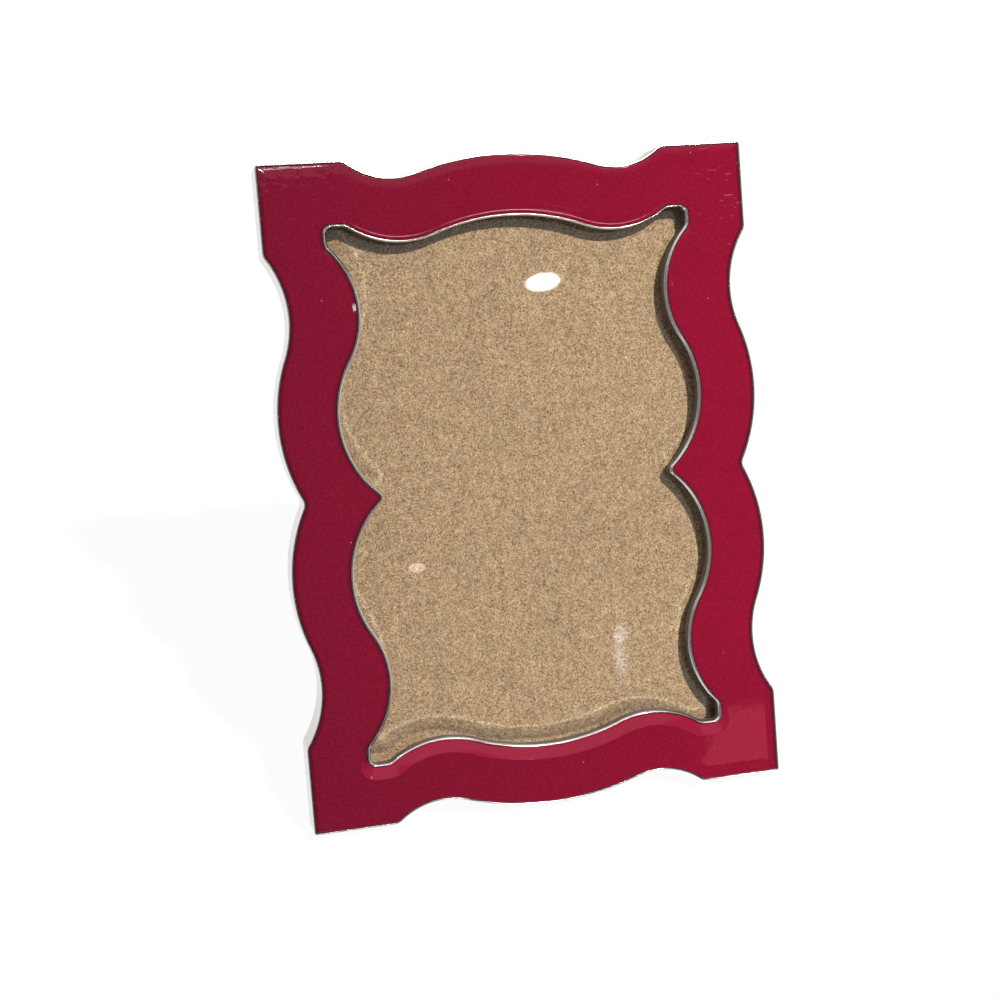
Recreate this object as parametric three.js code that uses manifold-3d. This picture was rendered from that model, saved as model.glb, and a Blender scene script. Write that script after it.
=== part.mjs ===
// Scalloped enamel picture frame for an upright 5 x 7 inch picture, standing on its easel back.
// Units are millimetres and +Z is up. The frame faces -Y, leans back, and stands on the plane z = 0.

import * as THREE from 'three';
import { mergeVertices } from 'three/addons/utils/BufferGeometryUtils.js';
import Module from 'manifold-3d';

const wasm = await Module();
wasm.setup();

// Clearances
const SEAT_GAP = 0.3;
const EDGE_GAP = 0.5;
const OVERCUT = 1;

// Sight opening and the band of metal around it
const SIGHT_WIDTH = 114.3;
const SIGHT_HEIGHT = 165.1;
const BAND_WIDTH = 19.05;
const LIP = 6.35;

// Scalloped outer edge: dips are placed from the corner and measured inwards from the outer extent
const OUTER_CORNER_RADIUS = 1;
const OUTER_BLOCK_FILLET = 4;
const OUTER_TOP_DIP_FROM_CORNER = 41.2;
const OUTER_TOP_DIP_DEPTH = 5.6;
const OUTER_TOP_DIP_RADIUS = 22.5;
const OUTER_SIDE_DIP_FROM_CORNER = 45.8;
const OUTER_SIDE_DIP_DEPTH = 6;
const OUTER_SIDE_DIP_RADIUS = 32;
const OUTER_CUSP_DEPTH = 6.1;
const OUTER_CUSP_RADIUS = 3;

// Scalloped sight edge, which follows the outer edge with tighter curves
const SIGHT_CORNER_INSET = 0.4;
const SIGHT_CORNER_RADIUS = 1.8;
const SIGHT_BLOCK_FILLET = 3;
const SIGHT_TOP_DIP_FROM_CORNER = 23.6;
const SIGHT_TOP_DIP_DEPTH = 6.1;
const SIGHT_TOP_DIP_RADIUS = 29.3;
const SIGHT_SIDE_DIP_FROM_CORNER = 26.2;
const SIGHT_SIDE_DIP_DEPTH = 9;
const SIGHT_SIDE_DIP_RADIUS = 28.4;
const SIGHT_CUSP_DEPTH = 12.3;
const SIGHT_CUSP_RADIUS = 2;

// Steps along each curve of a quarter outline
const CUSP_STEPS = 2;
const LOBE_STEPS = 9;
const DIP_STEPS = 7;
const CORNER_STEPS = 3;
const FILLET_STEPS = 2;
const CROWN_STEPS = 7;
const SMALLEST_RADIUS = 0.1;

// Casting and its enamel
const SIGHT_WALL = 4;
const RIM_WIDTH = 0.6;
const RIM_CHAMFER = 0.2;
const CELL_DEPTH = 1.2;
const ENAMEL_BEVEL = 4;
const ENAMEL_CROWN = 0.45;
const ENAMEL_EDGE_DROP = 0.05;
const ENAMEL_VALLEY_FROM_EDGE = 0.9;
const ENAMEL_VALLEY_DROP = 0.25;

// Layers behind the sight opening, from the glass to the covered back
const GLASS_THICKNESS = 2;
const CARD_THICKNESS = 3;
const CARD_LINER = 0.3;
const CARD_MEDIUM = 0.3;
const FLUTE_PITCH = 6.5;
const BACK_THICKNESS = 2.5;
const COVERING_THICKNESS = 0.8;

// Turn buttons, and the screws that they turn on
const BUTTON_FROM_EDGE = 6.2;
const BUTTON_REACH = 14;
const BUTTON_TAIL_RADIUS = 4;
const BUTTON_TIP_RADIUS = 2.8;
const BUTTON_THICKNESS = 0.8;
const SCREW_RADIUS = 1.25;
const SCREW_DEPTH = 5;
const SCREW_HEAD_RADIUS = 2.8;
const SCREW_HEAD_HEIGHT = 1.6;
const SCREW_SLOT_WIDTH = 0.7;
const SCREW_SLOT_DEPTH = 0.7;
const SCREW_SLOT_LENGTH = 3.2;

// Easel hinge
const HINGE_FROM_TOP = 43.5;
const HINGE_WIDTH = 24;
const KNUCKLE_RADIUS = 2.6;
const CENTRE_KNUCKLE = 9;
const LEAF_LENGTH = 13.5;
const LEAF_THICKNESS = 0.8;
const PIN_RADIUS = 1.1;
const PIN_HEAD_RADIUS = 1.9;
const PIN_HEAD_LENGTH = 0.7;
const RIVET_RADIUS = 1.1;
const RIVET_HEAD_RADIUS = 2.2;
const RIVET_HEAD_HEIGHT = 0.8;
const RIVET_FROM_END = 5;
const RIVET_FROM_AXIS = 8.6;

// Easel strut, its covering and the ribbon that stops it opening further
const LEAN_DEGREES = 19;
const OPENING_DEGREES = 35;
const STRUT_TOP_WIDTH = 31;
const STRUT_FOOT_WIDTH = 54;
const STRUT_THICKNESS = 2.4;
const STRUT_COVERING = 0.5;
const RIBBON_WIDTH = 10.5;
const RIBBON_THICKNESS = 0.4;
const RIBBON_TAB_LENGTH = 9;
const RIBBON_BACK_FROM_HINGE = 88;
const RIBBON_STRUT_FROM_HINGE = 80;

const ROUND_SIDES = 20;
const LEAN = THREE.MathUtils.degToRad(LEAN_DEGREES);
const OPENING = THREE.MathUtils.degToRad(OPENING_DEGREES);

// Overall sizes that follow from the ones above
const OUTER_WIDTH = SIGHT_WIDTH + 2 * BAND_WIDTH;
const OUTER_HEIGHT = SIGHT_HEIGHT + 2 * BAND_WIDTH;
const GLASS_WIDTH = SIGHT_WIDTH + 2 * LIP;
const GLASS_HEIGHT = SIGHT_HEIGHT + 2 * LIP;
const BACK_WIDTH = GLASS_WIDTH - EDGE_GAP;
const BACK_HEIGHT = GLASS_HEIGHT - EDGE_GAP;

// Depths in the frame's own axes: z = 0 is the rear face, and +z points out of the front
const COVERING_FRONT = COVERING_THICKNESS;
const BACK_REAR = COVERING_FRONT + SEAT_GAP;
const CARD_REAR = BACK_REAR + BACK_THICKNESS + SEAT_GAP;
const GLASS_REAR = CARD_REAR + CARD_THICKNESS + SEAT_GAP;
const GLASS_SEAT = GLASS_REAR + GLASS_THICKNESS + SEAT_GAP;
const CASTING_DEPTH = GLASS_SEAT + SIGHT_WALL;
const CELL_FLOOR = CASTING_DEPTH - CELL_DEPTH;

// Hinge axis in the frame's axes, and the layers of the strut measured from that axis
const HINGE_Y = BACK_HEIGHT / 2 - HINGE_FROM_TOP;
const HINGE_Z = -(SEAT_GAP + KNUCKLE_RADIUS);
const LEAF_START = KNUCKLE_RADIUS + SEAT_GAP;
const RIVET_SPACING = HINGE_WIDTH - 2 * RIVET_FROM_END;
const STRUT_COVERING_REAR = -(KNUCKLE_RADIUS - LEAF_THICKNESS - SEAT_GAP);
const STRUT_REAR = STRUT_COVERING_REAR + STRUT_COVERING + SEAT_GAP;
const STRUT_FRONT = STRUT_REAR + STRUT_THICKNESS;
const STRUT_WRAP = STRUT_COVERING + SEAT_GAP;
const STRUT_TOP = -(LEAF_START + STRUT_WRAP);
const STRUT_SLOPE = OPENING - LEAN;
const HINGE_HEIGHT = (OUTER_HEIGHT / 2 + HINGE_Y) * Math.cos(LEAN) + HINGE_Z * Math.sin(LEAN);
const STRUT_LENGTH = HINGE_HEIGHT / Math.cos(STRUT_SLOPE);

// Closed mesh to solid and back, for cuts and joins

function toSolid(geometry) {
  const plain = geometry.clone();
  plain.deleteAttribute('normal');
  plain.deleteAttribute('uv');
  const merged = mergeVertices(plain);
  const corners = [];
  for (let i = 0; i < merged.index.count; i += 3) {
    const [a, b, c] = [0, 1, 2].map((k) => merged.index.getX(i + k));
    if (a !== b && b !== c && c !== a) corners.push(a, b, c);
  }
  const vertProperties = new Float32Array(merged.attributes.position.array);
  const triVerts = new Uint32Array(corners);
  return new wasm.Manifold(new wasm.Mesh({ numProp: 3, vertProperties, triVerts }));
}

function toGeometry(solid) {
  const mesh = solid.getMesh();
  const geometry = new THREE.BufferGeometry();
  geometry.setAttribute('position', new THREE.BufferAttribute(mesh.vertProperties, 3));
  geometry.setIndex(new THREE.BufferAttribute(mesh.triVerts, 1));
  geometry.computeVertexNormals();
  return geometry;
}

function join(pieces) {
  return toGeometry(pieces.map(toSolid).reduce((sum, piece) => sum.add(piece)));
}

function cut(base, tools) {
  return toGeometry(tools.map(toSolid).reduce((rest, tool) => rest.subtract(tool), toSolid(base)));
}

// Plain shapes

function block([x0, x1], [y0, y1], [z0, z1]) {
  const box = new THREE.BoxGeometry(x1 - x0, y1 - y0, z1 - z0);
  return box.translate((x0 + x1) / 2, (y0 + y1) / 2, (z0 + z1) / 2);
}

function centredBlock(width, height, [z0, z1]) {
  return block([-width / 2, width / 2], [-height / 2, height / 2], [z0, z1]);
}

function rodAlongZ(radius, [x, y], [z0, z1]) {
  const rod = new THREE.CylinderGeometry(radius, radius, z1 - z0, ROUND_SIDES);
  return rod.rotateX(Math.PI / 2).translate(x, y, (z0 + z1) / 2);
}

function rodAlongX(radius, [x0, x1]) {
  const rod = new THREE.CylinderGeometry(radius, radius, x1 - x0, ROUND_SIDES);
  return rod.rotateZ(Math.PI / 2).translate((x0 + x1) / 2, 0, 0);
}

function turned(profile) {
  return new THREE.LatheGeometry(profile.map(([r, h]) => new THREE.Vector2(r, h)), ROUND_SIDES);
}

// Scalloped outlines. Every curve meets the next one at a tangent, and the four quarters mirror each other.

const outerEdge = scallop({
  halfWidth: OUTER_WIDTH / 2,
  halfHeight: OUTER_HEIGHT / 2,
  cornerInset: 0,
  cornerRadius: OUTER_CORNER_RADIUS,
  blockFillet: OUTER_BLOCK_FILLET,
  topDip: {
    fromCorner: OUTER_TOP_DIP_FROM_CORNER,
    depth: OUTER_TOP_DIP_DEPTH,
    radius: OUTER_TOP_DIP_RADIUS,
  },
  sideDip: {
    fromCorner: OUTER_SIDE_DIP_FROM_CORNER,
    depth: OUTER_SIDE_DIP_DEPTH,
    radius: OUTER_SIDE_DIP_RADIUS,
  },
  cusp: { depth: OUTER_CUSP_DEPTH, radius: OUTER_CUSP_RADIUS },
});

const sightEdge = scallop({
  halfWidth: SIGHT_WIDTH / 2,
  halfHeight: SIGHT_HEIGHT / 2,
  cornerInset: SIGHT_CORNER_INSET,
  cornerRadius: SIGHT_CORNER_RADIUS,
  blockFillet: SIGHT_BLOCK_FILLET,
  topDip: {
    fromCorner: SIGHT_TOP_DIP_FROM_CORNER,
    depth: SIGHT_TOP_DIP_DEPTH,
    radius: SIGHT_TOP_DIP_RADIUS,
  },
  sideDip: {
    fromCorner: SIGHT_SIDE_DIP_FROM_CORNER,
    depth: SIGHT_SIDE_DIP_DEPTH,
    radius: SIGHT_SIDE_DIP_RADIUS,
  },
  cusp: { depth: SIGHT_CUSP_DEPTH, radius: SIGHT_CUSP_RADIUS },
});

// Works out the circles of one outline: the crown over the middle, a dip on each side of it,
// the square corner block, the side dip and the side lobe that ends in the cusp at mid height.
function scallop(spec) {
  const { halfWidth, halfHeight, topDip, sideDip, cusp } = spec;
  const dipX = halfWidth - topDip.fromCorner;
  const crownRadius = (dipX ** 2 + topDip.depth ** 2) / (2 * topDip.depth) - topDip.radius;
  const dipY = halfHeight - sideDip.fromCorner;
  // The lobe's height is the root at which its circle touches the side dip and reaches the cusp's depth
  const a = (1 / cusp.depth - 1 / sideDip.depth) / 2;
  const b = dipY / sideDip.depth;
  const c = (cusp.depth - sideDip.depth) / 2 + sideDip.radius - dipY ** 2 / (2 * sideDip.depth);
  const lobeY = (-2 * c) / (b + Math.sqrt(b ** 2 - 4 * a * c));
  const lobeRadius = (lobeY ** 2 + cusp.depth ** 2) / (2 * cusp.depth);
  return {
    ...spec,
    lobeY,
    crown: { x: 0, y: halfHeight - crownRadius, radius: crownRadius },
    topDipCircle: { x: dipX, y: halfHeight - topDip.depth + topDip.radius, radius: topDip.radius },
    sideDipCircle: { x: halfWidth - sideDip.depth + sideDip.radius, y: dipY, radius: sideDip.radius },
    lobe: { x: halfWidth - lobeRadius, y: lobeY, radius: lobeRadius },
  };
}

function arcPoints(circle, radius, from, to, steps) {
  const points = [];
  for (let i = 0; i <= steps; i += 1) {
    const angle = from + ((to - from) * i) / steps;
    points.push(new THREE.Vector2(circle.x + radius * Math.cos(angle), circle.y + radius * Math.sin(angle)));
  }
  return points;
}

function bearing(from, to) {
  const angle = Math.atan2(to.y - from.y, to.x - from.x);
  return angle < 0 ? angle + 2 * Math.PI : angle;
}

// Quarter outline from the cusp on the right, counter-clockwise to the top of the crown.
// A positive inset moves the whole edge towards the middle, a negative one moves it out.
function quarterOutline(edge, inset) {
  const shrink = (radius) => Math.max(radius - inset, SMALLEST_RADIUS);
  const grow = (radius) => Math.max(radius + inset, SMALLEST_RADIUS);
  const sideX = edge.halfWidth - edge.cornerInset - inset;
  const topY = edge.halfHeight - edge.cornerInset - inset;
  const { crown, topDipCircle, sideDipCircle, lobe } = edge;
  const crownRadius = shrink(crown.radius);
  const topDipRadius = grow(topDipCircle.radius);
  const sideDipRadius = grow(sideDipCircle.radius);
  const lobeRadius = shrink(lobe.radius);
  const cuspRadius = grow(edge.cusp.radius);
  const fillet = shrink(edge.blockFillet);
  const cornerRadius = shrink(edge.cornerRadius);
  const leg = (long, short) => Math.sqrt(long ** 2 - short ** 2);

  const cuspCentre = { x: lobe.x + leg(lobeRadius + cuspRadius, lobe.y), y: 0 };
  const sideX0 = sideX - fillet;
  const sideRise = leg(sideDipRadius + fillet, sideDipCircle.x - sideX0);
  const sideFillet = { x: sideX0, y: sideDipCircle.y + sideRise };
  const topY0 = topY - fillet;
  const topRun = leg(topDipRadius + fillet, topDipCircle.y - topY0);
  const topFillet = { x: topDipCircle.x + topRun, y: topY0 };
  const corner = { x: sideX - cornerRadius, y: topY - cornerRadius };
  const quarterTurn = Math.PI / 2;

  const cuspArc = arcPoints(cuspCentre, cuspRadius, Math.PI, bearing(cuspCentre, lobe), CUSP_STEPS);
  const lobeFrom = bearing(lobe, cuspCentre) - 2 * Math.PI;
  const lobeArc = arcPoints(lobe, lobeRadius, lobeFrom, bearing(lobe, sideDipCircle), LOBE_STEPS);
  const sideDipFrom = bearing(sideDipCircle, lobe);
  const sideDipTo = bearing(sideDipCircle, sideFillet);
  const sideDipArc = arcPoints(sideDipCircle, sideDipRadius, sideDipFrom, sideDipTo, DIP_STEPS);
  const sideFilletFrom = bearing(sideFillet, sideDipCircle) - 2 * Math.PI;
  const sideFilletArc = arcPoints(sideFillet, fillet, sideFilletFrom, 0, FILLET_STEPS);
  const cornerArc = arcPoints(corner, cornerRadius, 0, quarterTurn, CORNER_STEPS);
  const topFilletTo = bearing(topFillet, topDipCircle);
  const topFilletArc = arcPoints(topFillet, fillet, quarterTurn, topFilletTo, FILLET_STEPS);
  const topDipFrom = bearing(topDipCircle, topFillet);
  const topDipTo = bearing(topDipCircle, crown);
  const topDipArc = arcPoints(topDipCircle, topDipRadius, topDipFrom, topDipTo, DIP_STEPS);
  const crownFrom = bearing(crown, topDipCircle);
  const crownArc = arcPoints(crown, crownRadius, crownFrom, quarterTurn, CROWN_STEPS);
  return [
    ...cuspArc,
    ...lobeArc.slice(1),
    ...sideDipArc.slice(1),
    ...sideFilletArc.slice(1),
    ...cornerArc,
    ...topFilletArc,
    ...topDipArc.slice(1),
    ...crownArc.slice(1),
  ];
}

function outlineLoop(edge, inset, z) {
  const quarter = quarterOutline(edge, inset);
  const inner = quarter.slice(1, -1);
  const back = [...inner].reverse();
  const loop = [
    ...quarter,
    ...back.map((p) => new THREE.Vector2(-p.x, p.y)),
    ...quarter.map((p) => new THREE.Vector2(-p.x, -p.y)),
    ...back.map((p) => new THREE.Vector2(p.x, -p.y)),
  ];
  return loop.map((p) => new THREE.Vector3(p.x, p.y, z));
}

// Skins a ring whose section passes through the loops in turn and closes on the first one
function ringThrough(loops) {
  const count = loops[0].length;
  const positions = loops.flat().flatMap((p) => [p.x, p.y, p.z]);
  const corners = [];
  loops.forEach((_, row) => {
    const here = row * count;
    const next = ((row + 1) % loops.length) * count;
    for (let i = 0; i < count; i += 1) {
      const j = (i + 1) % count;
      corners.push(here + i, here + j, next + i, here + j, next + j, next + i);
    }
  });
  const geometry = new THREE.BufferGeometry();
  geometry.setAttribute('position', new THREE.Float32BufferAttribute(positions, 3));
  geometry.setIndex(corners);
  geometry.computeVertexNormals();
  return geometry;
}

// Turn buttons sit on the widest part of each side, where the lobes stand out

const buttonPlaces = [
  ['upper_right', 1, 1],
  ['upper_left', -1, 1],
  ['lower_right', 1, -1],
  ['lower_left', -1, -1],
].map(([name, sideX, sideY]) => ({
  name,
  sideX,
  x: sideX * (OUTER_WIDTH / 2 - BUTTON_FROM_EDGE),
  y: sideY * outerEdge.lobeY,
}));

// Frame, enamel and the layers behind the opening

function frameCasting() {
  const front = CASTING_DEPTH;
  const ring = ringThrough([
    outlineLoop(outerEdge, 0, 0),
    outlineLoop(outerEdge, 0, front - RIM_CHAMFER),
    outlineLoop(outerEdge, RIM_CHAMFER, front),
    outlineLoop(outerEdge, RIM_WIDTH, front),
    outlineLoop(outerEdge, RIM_WIDTH, CELL_FLOOR),
    outlineLoop(sightEdge, -RIM_WIDTH, CELL_FLOOR),
    outlineLoop(sightEdge, -RIM_WIDTH, front),
    outlineLoop(sightEdge, -RIM_CHAMFER, front),
    outlineLoop(sightEdge, 0, front - RIM_CHAMFER),
    outlineLoop(sightEdge, 0, 0),
  ]);
  const rebateWidth = GLASS_WIDTH + 2 * EDGE_GAP;
  const rebateHeight = GLASS_HEIGHT + 2 * EDGE_GAP;
  const rebate = centredBlock(rebateWidth, rebateHeight, [-OVERCUT, GLASS_SEAT]);
  const screwHoles = buttonPlaces.map(({ x, y }) => (
    rodAlongZ(SCREW_RADIUS + SEAT_GAP, [x, y], [-OVERCUT, SCREW_DEPTH + SEAT_GAP])
  ));
  return cut(ring, [rebate, ...screwHoles]);
}

// The enamel climbs to each rim from a shallow valley, and a bevel rises from there to its flat face
function enamelInlay() {
  const edge = RIM_WIDTH + SEAT_GAP;
  const valley = edge + ENAMEL_VALLEY_FROM_EDGE;
  const crease = edge + ENAMEL_BEVEL;
  const floor = CELL_FLOOR + SEAT_GAP;
  const edgeTop = CASTING_DEPTH - ENAMEL_EDGE_DROP;
  const valleyTop = CASTING_DEPTH - ENAMEL_VALLEY_DROP;
  const flatTop = CASTING_DEPTH + ENAMEL_CROWN;
  return ringThrough([
    outlineLoop(outerEdge, edge, floor),
    outlineLoop(outerEdge, edge, edgeTop),
    outlineLoop(outerEdge, valley, valleyTop),
    outlineLoop(outerEdge, crease, flatTop),
    outlineLoop(sightEdge, -crease, flatTop),
    outlineLoop(sightEdge, -valley, valleyTop),
    outlineLoop(sightEdge, -edge, edgeTop),
    outlineLoop(sightEdge, -edge, floor),
  ]);
}

function glassPane() {
  return centredBlock(GLASS_WIDTH, GLASS_HEIGHT, [GLASS_REAR, GLASS_REAR + GLASS_THICKNESS]);
}

// Corrugated board: two flat liners with a wavy medium between them, open at the top and bottom edges
function cardboardFiller() {
  const middleZ = CARD_REAR + CARD_THICKNESS / 2;
  const wave = CARD_THICKNESS / 2 - CARD_LINER - CARD_MEDIUM / 2;
  const roof = CARD_THICKNESS / 2 - CARD_LINER;
  const phases = [-0.34, -0.2, 0, 0.2, 0.34];
  const roofPhase = 0.4;
  const last = Math.floor(BACK_WIDTH / FLUTE_PITCH) - 1;
  const length = BACK_HEIGHT + 2 * OVERCUT;
  const channels = [];
  for (let i = -last; i <= last; i += 1) {
    const up = i % 2 === 0 ? 1 : -1;
    const middle = (i * FLUTE_PITCH) / 2;
    const valley = phases.map((phase) => new THREE.Vector2(
      middle + phase * FLUTE_PITCH,
      up * (CARD_MEDIUM / 2 - wave * Math.cos(2 * Math.PI * phase)),
    ));
    const eaves = [roofPhase, -roofPhase].map((phase) => (
      new THREE.Vector2(middle + phase * FLUTE_PITCH, up * roof)
    ));
    const channel = new THREE.ExtrudeGeometry(new THREE.Shape([...valley, ...eaves]), {
      depth: length,
      bevelEnabled: false,
    });
    channels.push(channel.rotateX(Math.PI / 2).translate(0, length / 2, middleZ));
  }
  return cut(centredBlock(BACK_WIDTH, BACK_HEIGHT, [CARD_REAR, CARD_REAR + CARD_THICKNESS]), channels);
}

const backRivets = [-1, 1].map((side) => [(side * RIVET_SPACING) / 2, HINGE_Y + RIVET_FROM_AXIS]);
const BACK_RIVET_TIP = BACK_REAR + BACK_THICKNESS - SEAT_GAP;

function rivetHoles(places, span) {
  return places.map((place) => rodAlongZ(RIVET_RADIUS + SEAT_GAP, place, span));
}

function backBoard() {
  const span = [BACK_REAR, BACK_REAR + BACK_THICKNESS];
  const holes = rivetHoles(backRivets, [BACK_REAR - OVERCUT, BACK_REAR + BACK_THICKNESS + OVERCUT]);
  return cut(centredBlock(BACK_WIDTH, BACK_HEIGHT, span), holes);
}

function backCovering() {
  const holes = rivetHoles(backRivets, [-OVERCUT, COVERING_FRONT + OVERCUT]);
  return cut(centredBlock(BACK_WIDTH, BACK_HEIGHT, [0, COVERING_FRONT]), holes);
}

// Turn buttons and screws, made at their pivot with the rear face of the casting at z = 0

function turnButton(sideX) {
  const reach = BUTTON_REACH - BUTTON_TIP_RADIUS;
  const tangent = Math.acos((BUTTON_TAIL_RADIUS - BUTTON_TIP_RADIUS) / reach);
  const tail = { x: 0, y: 0 };
  const tip = { x: reach, y: 0 };
  const plate = new THREE.Shape([
    ...arcPoints(tail, BUTTON_TAIL_RADIUS, tangent, 2 * Math.PI - tangent, ROUND_SIDES / 2),
    ...arcPoints(tip, BUTTON_TIP_RADIUS, -tangent, tangent, ROUND_SIDES / 2),
  ]);
  const hole = arcPoints(tail, SCREW_RADIUS + SEAT_GAP, 0, 2 * Math.PI, ROUND_SIDES).slice(1);
  plate.holes.push(new THREE.Path(hole));
  const button = new THREE.ExtrudeGeometry(plate, { depth: BUTTON_THICKNESS, bevelEnabled: false });
  const inwards = sideX > 0 ? Math.PI : 0;
  return button.rotateZ(inwards).translate(0, 0, -(SEAT_GAP + BUTTON_THICKNESS));
}

function turnButtonScrew() {
  const underHead = SEAT_GAP + BUTTON_THICKNESS + SEAT_GAP;
  const length = underHead + SCREW_DEPTH;
  const shoulder = SCREW_HEAD_HEIGHT / 2;
  const screw = turned([
    [0, -length],
    [SCREW_RADIUS, -length],
    [SCREW_RADIUS, 0],
    [SCREW_HEAD_RADIUS, 0],
    [SCREW_HEAD_RADIUS, shoulder],
    [SCREW_HEAD_RADIUS * Math.cos(Math.PI / 5), SCREW_HEAD_HEIGHT],
    [0, SCREW_HEAD_HEIGHT],
  ]);
  const half = SCREW_SLOT_LENGTH / 2;
  const thin = SCREW_SLOT_WIDTH / 2;
  const depth = [SCREW_HEAD_HEIGHT - SCREW_SLOT_DEPTH, SCREW_HEAD_HEIGHT + OVERCUT];
  const slots = [
    block([-half, half], depth, [-thin, thin]),
    block([-thin, thin], depth, [-half, half]),
  ];
  return cut(screw, slots).rotateX(-Math.PI / 2).translate(0, 0, -underHead);
}

// Easel hinge, made about its own axis: the fixed leaf rises in front of the axis,
// and the moving leaf is the same stamping turned half round, with the middle knuckle

const halfCentre = CENTRE_KNUCKLE / 2;
const outerKnuckles = [
  [-HINGE_WIDTH / 2, -halfCentre - SEAT_GAP],
  [halfCentre + SEAT_GAP, HINGE_WIDTH / 2],
];
const centreKnuckle = [[-halfCentre, halfCentre]];

function hingeLeaf(knuckles) {
  const plateDepth = [KNUCKLE_RADIUS - LEAF_THICKNESS, KNUCKLE_RADIUS];
  const plate = block([-HINGE_WIDTH / 2, HINGE_WIDTH / 2], [LEAF_START, LEAF_LENGTH], plateDepth);
  const rolls = knuckles.map((span) => rodAlongX(KNUCKLE_RADIUS, span));
  const straps = knuckles.map((span) => block(span, [0, LEAF_START + LEAF_THICKNESS], plateDepth));
  const bore = rodAlongX(PIN_RADIUS + SEAT_GAP, [-HINGE_WIDTH / 2 - OVERCUT, HINGE_WIDTH / 2 + OVERCUT]);
  const places = [-1, 1].map((side) => [(side * RIVET_SPACING) / 2, RIVET_FROM_AXIS]);
  const holes = rivetHoles(places, [0, KNUCKLE_RADIUS + OVERCUT]);
  return cut(join([plate, ...rolls, ...straps]), [bore, ...holes]);
}

function hingePin() {
  const inner = HINGE_WIDTH / 2 + SEAT_GAP;
  const outer = inner + PIN_HEAD_LENGTH;
  const pin = turned([
    [0, -outer],
    [PIN_HEAD_RADIUS, -outer],
    [PIN_HEAD_RADIUS, -inner],
    [PIN_RADIUS, -inner],
    [PIN_RADIUS, inner],
    [PIN_HEAD_RADIUS, inner],
    [PIN_HEAD_RADIUS, outer],
    [0, outer],
  ]);
  return pin.rotateZ(Math.PI / 2);
}

// A rivet's head lies behind its leaf, and its shank points forward
function rivet(shank) {
  const crown = RIVET_HEAD_HEIGHT;
  const head = turned([
    [0, -shank],
    [RIVET_RADIUS, -shank],
    [RIVET_RADIUS, 0],
    [RIVET_HEAD_RADIUS, 0],
    [RIVET_HEAD_RADIUS * Math.cos(Math.PI / 6), crown / 2],
    [RIVET_HEAD_RADIUS / 2, crown * Math.sin(Math.PI / 3)],
    [0, crown],
  ]);
  return head.rotateX(-Math.PI / 2);
}

// Easel strut, made folded flat below the hinge axis, with its foot cut level for the open position

function strutSlab(margin, top, [z0, z1]) {
  const foot = STRUT_TOP - 2 * STRUT_LENGTH;
  const spread = (STRUT_FOOT_WIDTH - STRUT_TOP_WIDTH) / 2;
  const halfTop = STRUT_TOP_WIDTH / 2 + margin;
  const halfFoot = halfTop + (spread * (top - foot)) / (STRUT_LENGTH + STRUT_TOP);
  const plan = new THREE.Shape([
    new THREE.Vector2(-halfTop, top),
    new THREE.Vector2(-halfFoot, foot),
    new THREE.Vector2(halfFoot, foot),
    new THREE.Vector2(halfTop, top),
  ]);
  const slab = new THREE.ExtrudeGeometry(plan, { depth: z1 - z0, bevelEnabled: false });
  return slab.translate(0, 0, z0);
}

function belowFoot() {
  const size = 3 * STRUT_LENGTH;
  const ground = block([-size, size], [-size, 0], [-size, size]);
  return ground.rotateX(-STRUT_SLOPE).translate(0, -STRUT_LENGTH, 0);
}

const strutRivets = [-1, 1].map((side) => [(side * RIVET_SPACING) / 2, -RIVET_FROM_AXIS]);
const STRUT_RIVET_TIP = STRUT_FRONT - SEAT_GAP;

function strutBoard() {
  const slab = strutSlab(0, STRUT_TOP, [STRUT_REAR, STRUT_FRONT]);
  const holes = rivetHoles(strutRivets, [STRUT_REAR - OVERCUT, STRUT_FRONT + OVERCUT]);
  return cut(slab, [belowFoot(), ...holes]);
}

// The covering wraps the rear, the long sides and the top of the strut, and leaves its front bare
function strutCovering() {
  const wrap = strutSlab(STRUT_WRAP, STRUT_TOP + STRUT_WRAP, [STRUT_COVERING_REAR, STRUT_FRONT]);
  const room = strutSlab(SEAT_GAP, STRUT_TOP + SEAT_GAP, [STRUT_REAR - SEAT_GAP, STRUT_FRONT + OVERCUT]);
  const holes = rivetHoles(strutRivets, [STRUT_COVERING_REAR - OVERCUT, STRUT_REAR]);
  return cut(wrap, [room, belowFoot(), ...holes]);
}

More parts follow.
